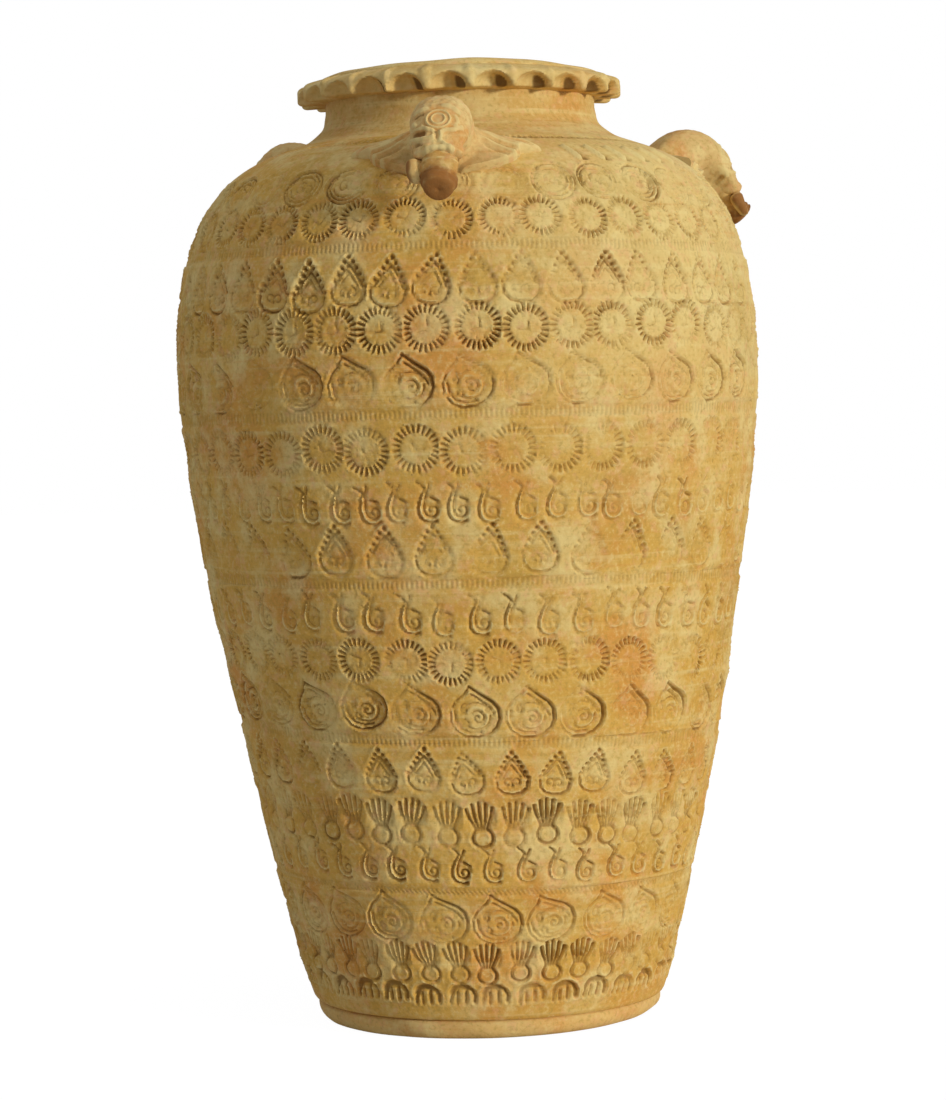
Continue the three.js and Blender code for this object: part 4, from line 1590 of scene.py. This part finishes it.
@dataclass
class ElephantHead:
    """One elephant head on the shoulder, with its boss, trunk, tusks and ears."""

    name: str
    curve: WallCurve
    turn: float
    seat: float
    length: float
    trunk_length: float
    pressed: float
    crisp: float
    press_rise: Point = (4.0, 20.0)
    search: tuple[float, float, int] = (30.0, 150.0, 481)
    sink: float = 2.0

    # The skull, from its back over the crest to the muzzle, and the jaw below it
    skull_cuts: int = 80
    crest: float = 27.5
    height: float = 40.5
    half_width: float = 19.0
    back_half_width: float = 12.0
    squareness: float = 2.7
    muzzle_drop: float = 5.5
    muzzle_bend: float = 1.4
    muzzle_round: float = 3.5
    muzzle_square: float = 2.4
    lip_flare: float = 2.0
    lip_place: float = 3.0
    lip_width: float = 2.2
    jaw_taper: float = 0.12
    jaw_length: float = 15.0
    jaw_pinch: float = 0.7
    jaw_pinch_rise: Point = (16.0, 44.0)
    jaw_pinch_depth: float = 0.5
    chin_tuck: float = 20.0
    chin_from: float = 20.0
    chin_share: float = 0.8
    chin_bend: float = 1.5

    # The face: its worn skin, the eyes by distance along, across and out, and the painted shade in
    # its hollows, kept lighter on the lit side
    worn: Wave = Wave(0.35, 1.35, 2.0)
    worn_cross: Point = (1.05, -0.55)
    worn_wander: Wave = Wave(1.0, 0.6)
    face_rise: Point = (10.0, 22.0)
    eye_place: tuple[float, float, float] = (37.0, 16.6, 24.0)
    eye_rim: Point = (3.4, 1.1)
    eye_rim_rise: float = 0.7
    eye_radius: float = 2.2
    eye_depth: float = 1.3
    face_full_depth: float = 1.2
    face_lit_side: float = 4.0
    face_lit_shade: float = -0.35
    face_hollow_shade: float = 0.5

    # The boss, a flat pellet with two rings
    boss_place: float = 33.5
    boss_flat: float = 0.7
    boss_radius: float = 6.6
    boss_rows: int = 23
    boss_foot: Point = (6.9, -1.6)
    boss_rings: Point = (3.3, 5.7)
    boss_ring_width: float = 0.6
    boss_ring_rise: float = 1.1
    boss_rise: float = 0.35
    boss_steps: int = 48
    boss_shade: Point = (0.9, -0.5)

    # The trunk and the tusks, rolls of clay that leave the muzzle
    roll_steps: int = 40
    roll_waves: tuple[Wave, Wave] = (Wave(0.035, 2, 10 / 3), Wave(0.035, 3, -2.0, 1.0))
    roll_most: float = 1.2
    trunk_root: float = -9.0
    trunk_stop: float = 0.9
    trunk_rows: int = 44
    trunk_radius: float = 8.3
    trunk_swell: float = 0.9
    trunk_taper: float = 1.1
    trunk_bend: float = 1.6
    trunk_cut: float = 0.37
    trunk_out: float = 27.0
    trunk_lift: float = 4.0
    trunk_edge: tuple[Point, ...] = ((-0.5, -0.4), (-1.4, 0.1), (-2.8, 0.3))
    nostril: tuple[Point, ...] = ((3.4, 0.4), (1.8, 0.3), (1.0, 0.1), (0.6, -0.1), (0.0, -0.2))
    fold_rate: float = 1.3
    fold_wander: Wave = Wave(2.0, 0.7)
    fold_depth: float = 0.42
    fold_rise: Point = (2.0, 6.0)
    # Painted light and shade along the folds
    fold_shade: float = 0.6
    fold_break: Wave = Wave(0.5, 0.9, 10 / 7)
    trunk_end: Point = (2.6, 0.6)
    trunk_rim: Point = (0.6, 0.7)
    # A painted highlight along the edge of the cut end: paler and less darkened
    trunk_rim_highlight: float = 0.35
    trunk_darkening: Point = (0.3, 0.65)
    trunk_darkening_rise: Point = (0.1, 0.8)
    trunk_rim_less_dark: float = 0.2
    tusk_length: float = 10.0
    tusk_rows: int = 16
    tusk_radius: float = 4.2
    tusk_taper: float = 0.45
    tusk_bend: float = 1.5
    tusk_root: float = -0.5
    tusk_root_round: float = 2.4
    tusk_tip: float = 2.0
    tusk_out: float = 27.0
    tusk_lift: float = 2.0
    tusk_across: Point = (12.3, 10.5)
    stub_across: Point = (5.6, 4.8)
    stub_share: float = 0.3
    stub_thinness: float = 0.2
    tusk_shade: float = 0.2
    tusk_side_darkening: float = 0.95
    tusk_side_darkening_edge: Point = (-0.2, 0.9)

    # The ears: a fan from the side of the skull, pinched below, with ribs and a top spar
    ear_cuts: int = 44
    ear_from: float = 4.0
    ear_span: float = 30.0
    ear_overlap: float = 3.0
    ear_pinch: float = 0.5
    ear_pinch_rise: Point = (0.45, 1.0)
    ear_thickness: float = 5.0
    ear_root: float = 17.0
    ear_root_press: float = 2.9
    ear_root_most: float = 0.7
    ear_root_fall: float = 0.75
    ear_root_rise: Point = (0.4, 1.0)
    ear_root_bend: float = 2.5
    ear_shown: Point = (0.12, 0.4)
    ear_ribs: int = 5
    ear_rib_rise: float = 2.6
    ear_rib_sharpness: int = 4
    ear_rib_fall: Point = (0.5, 0.75)
    ear_spar_rise: float = 2.0
    ear_spars: tuple[Point, Point] = ((0.03, 0.035), (0.13, 0.03))
    ear_tip_thin: float = 0.6
    ear_tip: Point = (43.0, 57.0)
    ear_hem_round: float = 0.07
    ear_side_round: float = 0.4
    ear_full_rise: float = 2.2
    ear_shade: float = 0.6
    # A painted highlight along the hem; the ear is darker between its ribs, partly earth in the
    # grooves and partly painted shade
    ear_hem_highlight: float = 0.5
    ear_hem_edge: Point = (0.9, 0.97)
    ear_face: Point = (0.6, 1.0)
    ear_shade_limits: Point = (-0.8, 0.7)

    def place(self, down: Array, across: Array, out: Array) -> Array:
        """Finds places on this head's part of the shoulder.

        Args:
            down: Distance down the wall from the neck.
            across: Distance across, to the right seen from outside.
            out: Distance out from the wall.

        Returns:
            One row for each place.
        """
        radius, height, out_radius, out_height = self._wall(down)
        out = out - self.pressed * smooth_step(out, *self.press_rise)
        turn = across / radius + self.turn
        return round_z(radius + out * out_radius, turn, height + out * out_height)

    def _wall(self, down: Array) -> list[Array]:
        """Returns the wall's radius, height and outward direction at distances below the neck."""
        arc = self.curve.table["arc"][-1] - down
        return self.curve.read("arc", arc, "radius", "height", "out_radius", "out_height")

    def unplace(self, places: Array) -> tuple[Array, Array, Array]:
        """Finds down, across and out for places near this head, by the nearest point of the wall.

        Args:
            places: One row for each place.

        Returns:
            The three distances that place takes.
        """
        reach, turn, level = from_z(places)
        turn = np.mod(turn - self.turn + math.pi, FULL_TURN) - math.pi
        downs = np.linspace(*self.search)
        line = self._wall(downs)
        far = (reach[:, None] - line[0]) ** 2 + (level[:, None] - line[1]) ** 2
        near = np.argmin(far, axis=1)
        radius, height, out_radius, out_height = (column[near] for column in line)
        out = (reach - radius) * out_radius + (level - height) * out_height
        return downs[near], turn * radius, out

    def half_width_at(self, along: Array) -> Array:
        """Finds half the head's width.

        Args:
            along: Distance from the back of the skull.

        Returns:
            The half width there.
        """
        swell = np.sin(math.pi / 2 * np.clip(along / self.crest, 0, 1))
        jaw = 1 - self.jaw_taper * smooth_step(along, self.length - self.jaw_length, self.length)
        return (self.back_half_width + (self.half_width - self.back_half_width) * swell) * jaw

    def skin(self, along: Array, across: Array) -> Array:
        """Finds the height of the head's smooth skin.

        Args:
            along: Distance from the back of the skull.
            across: Distance across the head.

        Returns:
            The height above the wall.
        """
        past = np.clip((along - self.crest) / (self.length - self.crest), 0, 1)
        back = self.height * quarter(1 - along / self.crest)
        front = self.height - self.muzzle_drop * past**self.muzzle_bend
        end = (along - self.length + self.muzzle_round) / self.muzzle_round
        middle = np.where(along < self.crest, back, front) * quarter(end, self.muzzle_square)
        middle += self.lip_flare * hump(along, self.length - self.lip_place, self.lip_width)
        return middle * quarter(np.abs(across) / self.half_width_at(along), self.squareness)

    def build(self) -> None:
        """Builds the head and all that is luted to it."""
        self._skull()
        self._boss()
        self._trunk()
        for label, side in (("right", 1), ("left", -1)):
            self._tusk(label, side)
            self._ear(label, side)

    def _skull(self) -> None:
        """Builds the head with its jaw tucked in below, and its face."""
        bm = lump(self.skull_cuts)
        points = corners_of(bm)
        along = self.length * np.sin(math.pi / 4 * (1 + points[:, 0]))
        across = self.half_width_at(along) * np.sin(math.pi / 2 * points[:, 1])
        share = (1 + points[:, 2]) / 2
        out = -self.sink + (self.skin(along, across) + self.sink) * share
        deep = np.clip(1 - out / (self.chin_share * self.height), 0, 1)
        tuck = self.chin_tuck * deep**self.chin_bend
        tuck *= smooth_step(along, self.chin_from, self.length)
        pinch = self.jaw_pinch * smooth_step(along, *self.jaw_pinch_rise)
        pinch *= smooth_step(deep, 0.0, self.jaw_pinch_depth)
        move_corners(bm, self.place(self.seat + along - tuck, across * (1 - pinch), out))
        bmesh.ops.remove_doubles(bm, verts=bm.verts, dist=NEAR)
        bmesh.ops.recalc_face_normals(bm, faces=bm.faces)
        bm.verts.index_update()
        shade = self._face(bm)
        # Painted shade: the face's hollows are also darkened brown
        scorch = self.face_hollow_shade * np.clip(-shade, 0, 1)
        finish_piece(bm, f"{self.name}_head", HEAD_CLAY, shade, scorch)

    def _face(self, bm: Mesh) -> Array:
        """Models brows, eyes, scrolls and upper lip on a smooth head.

        Args:
            bm: The smooth head.

        Returns:
            The relief of each corner, from 1 to -1, which paints shade in what is cut, less dark on
            the lit side.
        """
        places = corners_of(bm)
        down, across, out = self.unplace(places)
        along = down - self.seat
        lines = sum(line.relief(across, along - self.boss_place) for line in FACE_LINES)
        cross = self.worn_cross[0] * across + self.worn_cross[1] * along
        worn = self.worn.at(along, across) * np.sin(cross + self.worn_wander.at(along))
        relief = self.crisp * (lines + worn) * smooth_step(out, *self.face_rise)
        from_eye = np.column_stack((along, np.abs(across), out)) - self.eye_place
        eye = np.sqrt((from_eye**2).sum(axis=1))
        relief += self.eye_rim_rise * hump(eye, *self.eye_rim)
        relief -= self.eye_depth * dome(eye / self.eye_radius, 1)
        move_corners(bm, places + normals_of(bm) * relief[:, None])
        # Painted shade in what is cut, kept lighter on the lit side
        darkest = np.where(across > self.face_lit_side, self.face_lit_shade, -1.0)
        return np.clip(relief / self.face_full_depth, darkest, 1)

    def _boss(self) -> None:
        """Builds the ringed pellet on the forehead."""
        radii = np.linspace(0, self.boss_radius, self.boss_rows)
        rings = sum(hump(radii, ring, self.boss_ring_width) for ring in self.boss_rings)
        heights = self.boss_rise + self.boss_ring_rise * rings
        foot = [self.boss_foot, (0.0, self.boss_foot[1])]
        bm = turned([*zip(radii.tolist(), heights.tolist()), *foot], self.boss_steps, closed=False)
        points = corners_of(bm)
        along = self.boss_place - self.boss_flat * points[:, 1]
        out = self.skin(along, points[:, 0]) + points[:, 2]
        move_corners(bm, self.place(self.seat + along, points[:, 0], out))
        bmesh.ops.recalc_face_normals(bm, faces=bm.faces)
        shade = self.boss_shade[0] * points[:, 2] + self.boss_shade[1]
        finish_piece(bm, f"{self.name}_boss", HEAD_CLAY, shade)

    def _roll(
        self,
        profile: Sequence[Point],
        across: Point,
        out: float,
        lift: float,
        length: float,
        cut: float,
    ) -> tuple[Mesh, Array]:
        """Builds a roll of clay that leaves the muzzle and rises from the wall as it goes down.

        Args:
            profile: Radius and distance along the roll, from its root.
            across: Where its middle lies across the head, at the muzzle and at its end.
            out: How far its root's middle is from the wall.
            lift: How much further out its end is.
            length: Its length past the muzzle.
            cut: How much sooner its outer side ends than its wall side, for each unit across.

        Returns:
            The mesh in place, and its corners before they were placed.
        """
        bm = turned(profile, self.roll_steps, closed=False)
        points = corners_of(bm)
        angle = np.arctan2(points[:, 1], points[:, 0])
        uneven = 1 + sum(wave.at(angle, points[:, 2]) for wave in self.roll_waves)
        points[:, :2] *= uneven[:, None]
        share = points[:, 2] / length
        bent = np.clip(share, 0, self.roll_most) ** 2
        down = self.seat + self.length + points[:, 2] - cut * points[:, 1] * np.clip(share, 0, 1)
        middle = across[0] + (across[1] - across[0]) * bent
        rise = out + lift * bent + points[:, 1]
        move_corners(bm, self.place(down, middle + points[:, 0], rise))
        bmesh.ops.recalc_face_normals(bm, faces=bm.faces)
        return bm, points

    def _folds(self, along: Array) -> Array:
        """Returns the uneven folds across the trunk, from 1 to -1."""
        return np.sin(along * self.fold_rate + self.fold_wander.at(along))

    def _trunk(self) -> None:
        """Builds the short trunk with its folds and the nostril in its cut end."""
        length = self.trunk_length
        along = np.linspace(self.trunk_root, length - self.trunk_stop, self.trunk_rows)
        tapered = self.trunk_taper * np.clip(along / length, 0, 1) ** self.trunk_bend
        folds = self.fold_depth * self._folds(along) * smooth_step(along, *self.fold_rise)
        radius = self.trunk_radius + self.trunk_swell - tapered + folds
        last = float(radius[-1])
        profile = [
            (0.0, self.trunk_root),
            *zip(radius.tolist(), along.tolist()),
            *((last + inward, length + past) for inward, past in self.trunk_edge),
            *((reach, length + past) for reach, past in self.nostril),
        ]
        bm, points = self._roll(
            profile, (0.0, 0.0), self.trunk_out, self.trunk_lift, length, self.trunk_cut
        )
        reach, past = np.hypot(points[:, 0], points[:, 1]), points[:, 2]
        ended = smooth_step(past, length - self.trunk_end[0], length - self.trunk_end[1])
        # Painted highlight along the edge of the cut end
        rim = ended * hump(reach, self.trunk_radius - self.trunk_rim[0], self.trunk_rim[1])
        least, more = self.trunk_darkening
        start, full = self.trunk_darkening_rise
        scorch = least + more * smooth_step(past, start * length, full * length)
        scorch -= self.trunk_rim_less_dark * rim
        broken = 0.5 + self.fold_break.at(points[:, 0], past)
        # Painted light and shade along the folds, and the painted highlight on the end's edge
        relief = self.fold_shade * self._folds(past) * (1 - ended) + self.trunk_rim_highlight * rim
        finish_piece(bm, f"{self.name}_trunk", TRUNK_CLAY, relief * broken, scorch)

    def _tusk(self, label: str, side: int) -> None:
        """Builds one short tusk beside the trunk. The right one is worn to a stub.

        Args:
            label: The side's name.
            side: 1 for the right and -1 for the left.
        """
        left = self.stub_share if side > 0 else 1.0
        across = self.stub_across if side > 0 else self.tusk_across
        length, root, tip = self.tusk_length * left, self.tusk_root, self.tusk_tip
        along = np.linspace(root, length - tip, self.tusk_rows)
        tapered = 1 - self.tusk_taper * np.clip(along / length, 0, 1) ** self.tusk_bend
        radius = self.tusk_radius * tapered * left**self.stub_thinness
        profile = [
            *sweep((0.0, root), (float(radius[0]), self.tusk_root_round), -90, 0, count=7)[:-1],
            *zip(radius.tolist(), along.tolist()),
            *sweep((0.0, length - tip), (float(radius[-1]), tip), 0, 90, count=7)[1:],
        ]
        bm, points = self._roll(
            profile, (side * across[0], side * across[1]), self.tusk_out, self.tusk_lift, length, 0.0
        )
        darker_side = smooth_step(-points[:, 0] / self.tusk_radius, *self.tusk_side_darkening_edge)
        shade = np.full(len(points), self.tusk_shade)
        scorch = self.tusk_side_darkening * darker_side
        finish_piece(bm, f"{self.name}_tusk_{label}", TUSK_CLAY, shade, scorch)

    def _ear(self, label: str, side: int) -> None:
        """Builds one ribbed ear that lies on the shoulder, with a notch below its top spar.

        Args:
            label: The side's name.
            side: 1 for the right and -1 for the left.
        """
        bm = lump(self.ear_cuts)
        points = corners_of(bm)
        fan = (1 + points[:, 0]) / 2
        reach = np.sin(math.pi / 4 * (1 + side * points[:, 1]))
        share = (1 + points[:, 2]) / 2
        places, hem_down, hem_across = np.array(EAR_HEM).T
        root_along = self.ear_from + self.ear_span * fan
        root_across = self.half_width_at(root_along) - self.ear_overlap
        root_across *= 1 - self.ear_pinch * smooth_step(fan, *self.ear_pinch_rise)
        down = root_along + (np.interp(fan, places, hem_down) - root_along) * reach
        across = root_across + (np.interp(fan, places, hem_across) - root_across) * reach

        shown = smooth_step(reach, *self.ear_shown)
        ribs = self.ear_rib_rise * np.cos(math.pi * fan * self.ear_ribs) ** self.ear_rib_sharpness
        ribs *= 1 - smooth_step(fan, *self.ear_rib_fall)
        spars = self.ear_spar_rise * sum(hump(fan, *spar) for spar in self.ear_spars)
        raised = (ribs + spars) * shown
        skull = self.ear_root_most * self.skin(root_along, np.zeros(len(points)))
        root = np.minimum(self.ear_root - self.ear_root_press * self.pressed, skull)
        root *= 1 - self.ear_root_fall * smooth_step(fan, *self.ear_root_rise)
        near = (1 - reach) ** self.ear_root_bend
        thick = self.ear_thickness + (root - self.ear_thickness) * near + raised
        thick *= 1 - self.ear_tip_thin * smooth_step(across, *self.ear_tip)
        hem = quarter((reach - 1) / self.ear_hem_round + 1)
        aside = np.minimum(fan, 1 - fan) * self.ear_span
        top = thick * hem * quarter(1 - aside / (self.ear_side_round * thick))
        out = -self.sink + (top + self.sink) * share
        move_corners(bm, self.place(self.seat + down, side * across, out))

        # Ribs and spars paler, darker between them, partly earth and partly painted shade, and a
        # painted highlight along the hem
        proud = raised / self.ear_full_rise * smooth_step(share, *self.ear_face)
        proud += self.ear_hem_highlight * smooth_step(reach, *self.ear_hem_edge) - self.ear_shade * shown
        layer = bm.verts.layers.float.new(RELIEF)
        for vert, value in zip(bm.verts, np.clip(proud, *self.ear_shade_limits).tolist()):
            vert[layer] = value
        bmesh.ops.remove_doubles(bm, verts=bm.verts, dist=NEAR)
        bmesh.ops.recalc_face_normals(bm, faces=bm.faces)
        finish_piece(bm, f"{self.name}_ear_{label}", HEAD_CLAY)


@dataclass
class Studio:
    """A pale floor, soft light and a camera where the photograph was taken from."""

    image_height: int = 1100
    focal_pixels: float = 3400.0
    eye_distance: float = 2.098
    eye_height: float = 0.370
    eye_turn: float = math.radians(4)
    pitch: float = math.radians(2.3)
    roll: float = math.radians(1.7)
    sensor: float = 24.0
    world_strength: float = 0.315
    world_tint: tuple[float, float, float, float] = (0.93, 0.98, 1.12, 1.0)
    lamp_tint: tuple[float, float, float] = (1.0, 0.97, 0.92)
    key_strength: float = 2.1
    key_turn: float = math.radians(56)
    key_rise: float = math.radians(9)
    key_angle: float = math.radians(7)
    top_strength: float = 0.55
    top_turn: float = math.radians(20)
    top_rise: float = math.radians(68)
    top_angle: float = math.radians(80)
    floor_half: float = 12.0
    floor_paper: str = "#F4F4F4"
    floor_glow: tuple[float, float, float, float] = (1.06, 1.06, 1.06, 1.0)
    floor_white: float = 0.92
    floor_dull: float = 0.2

    def build(self) -> None:
        """Sets up the whole studio."""
        bpy.context.scene.view_settings.view_transform = "Standard"
        self._camera()
        self._world()
        self._lamp("key_lamp", self.key_strength, self.key_turn, self.key_rise, self.key_angle)
        self._lamp("top_lamp", self.top_strength, self.top_turn, self.top_rise, self.top_angle)
        self._floor()

    def _camera(self) -> None:
        """Adds the camera at the photograph's view."""
        lens = bpy.data.cameras.new("photo_camera")
        lens.sensor_fit = "VERTICAL"
        lens.sensor_height = self.sensor
        lens.lens = self.focal_pixels / self.image_height * self.sensor
        camera = bpy.data.objects.new("photo_camera", lens)
        bpy.context.scene.collection.objects.link(camera)
        camera.matrix_world = (
            Matrix.Rotation(self.eye_turn, 4, "Z")
            @ Matrix.Translation((0.0, -self.eye_distance, self.eye_height))
            @ Matrix.Rotation(math.pi / 2 - self.pitch, 4, "X")
            @ Matrix.Rotation(-self.roll, 4, "Z")
        )
        bpy.context.scene.camera = camera

    def _seen(self, tree: Tree) -> Any:
        """Finds out which rays show the background.

        Args:
            tree: The tree that asks.

        Returns:
            The socket of a share that is 1 for those rays and 0 for the others.
        """
        path = add_node(tree, "ShaderNodeLightPath").outputs
        seen = path["Is Camera Ray"]
        for name in ("Is Glossy Ray", "Is Transmission Ray"):
            either = {0: seen, 1: path[name]}
            seen = add_node(tree, "ShaderNodeMath", either, operation="MAXIMUM").outputs[0]
        return seen

    def _world(self) -> None:
        """Lights all round softly, and shows white to the camera."""
        world = bpy.data.worlds.new("soft_studio")
        world.use_nodes = True
        tree = world.node_tree
        tree.nodes.clear()
        soft = {"Color": self.world_tint, "Strength": self.world_strength}
        white = {"Color": (1, 1, 1, 1), "Strength": 1.0}
        lights = [add_node(tree, "ShaderNodeBackground", light).outputs[0] for light in (soft, white)]
        parts = {0: self._seen(tree), 1: lights[0], 2: lights[1]}
        both = add_node(tree, "ShaderNodeMixShader", parts)
        add_node(tree, "ShaderNodeOutputWorld", {"Surface": both.outputs[0]})
        bpy.context.scene.world = world

    def _lamp(self, name: str, strength: float, turn: float, rise: float, angle: float) -> None:
        """Adds one lamp.

        Args:
            name: The lamp's name.
            strength: How strong it is.
            turn: Where it stands, as a turn about +Z.
            rise: How high it stands, as an angle.
            angle: How wide it looks from the jar.
        """
        lamp = bpy.data.lights.new(name, "SUN")
        lamp.energy = strength
        lamp.angle = angle
        lamp.color = self.lamp_tint
        stand = bpy.data.objects.new(name, lamp)
        raised = Matrix.Rotation(math.pi / 2 - rise, 4, "X")
        stand.matrix_world = Matrix.Rotation(turn, 4, "Z") @ raised
        bpy.context.scene.collection.objects.link(stand)

    def _floor(self) -> None:
        """Adds the floor. White paper gives the eye an even white with no gloss."""
        material = bpy.data.materials.new("studio_floor_paper")
        material.use_nodes = True
        tree = material.node_tree
        tree.nodes.clear()
        paper = add_node(tree, "ShaderNodeBsdfDiffuse", {"Color": linear(self.floor_paper)})
        seen = self._seen(tree)
        glow = add_node(tree, "ShaderNodeEmission", {"Color": self.floor_glow, "Strength": seen})
        share = add_node(
            tree, "ShaderNodeMapRange", {0: seen, 3: self.floor_dull, 4: self.floor_white}
        )
        parts = {0: share.outputs[0], 1: paper.outputs[0], 2: glow.outputs[0]}
        both = add_node(tree, "ShaderNodeMixShader", parts)
        add_node(tree, "ShaderNodeOutputMaterial", {"Surface": both.outputs[0]})
        bm = bmesh.new()
        bmesh.ops.create_grid(bm, x_segments=1, y_segments=1, size=self.floor_half)
        mesh = bpy.data.meshes.new("studio_floor")
        bm.to_mesh(mesh)
        bm.free()
        mesh.materials.append(material)
        floor = bpy.data.objects.new("studio_floor", mesh)
        bpy.context.scene.collection.objects.link(floor)


def main() -> None:
    """Builds the jar piece by piece, and the studio round it."""
    logging.basicConfig(level=logging.INFO, format="%(name)s: %(message)s")
    curve = WallCurve()
    ornament = Ornament(curve)
    Studio().build()
    Foot().build()
    Wall(curve, ornament).build()
    Rim(curve, ornament).build()
    for head in Head:
        ElephantHead(head.name.lower(), curve, **asdict(head.value)).build()


if __name__ == "__main__":
    main()
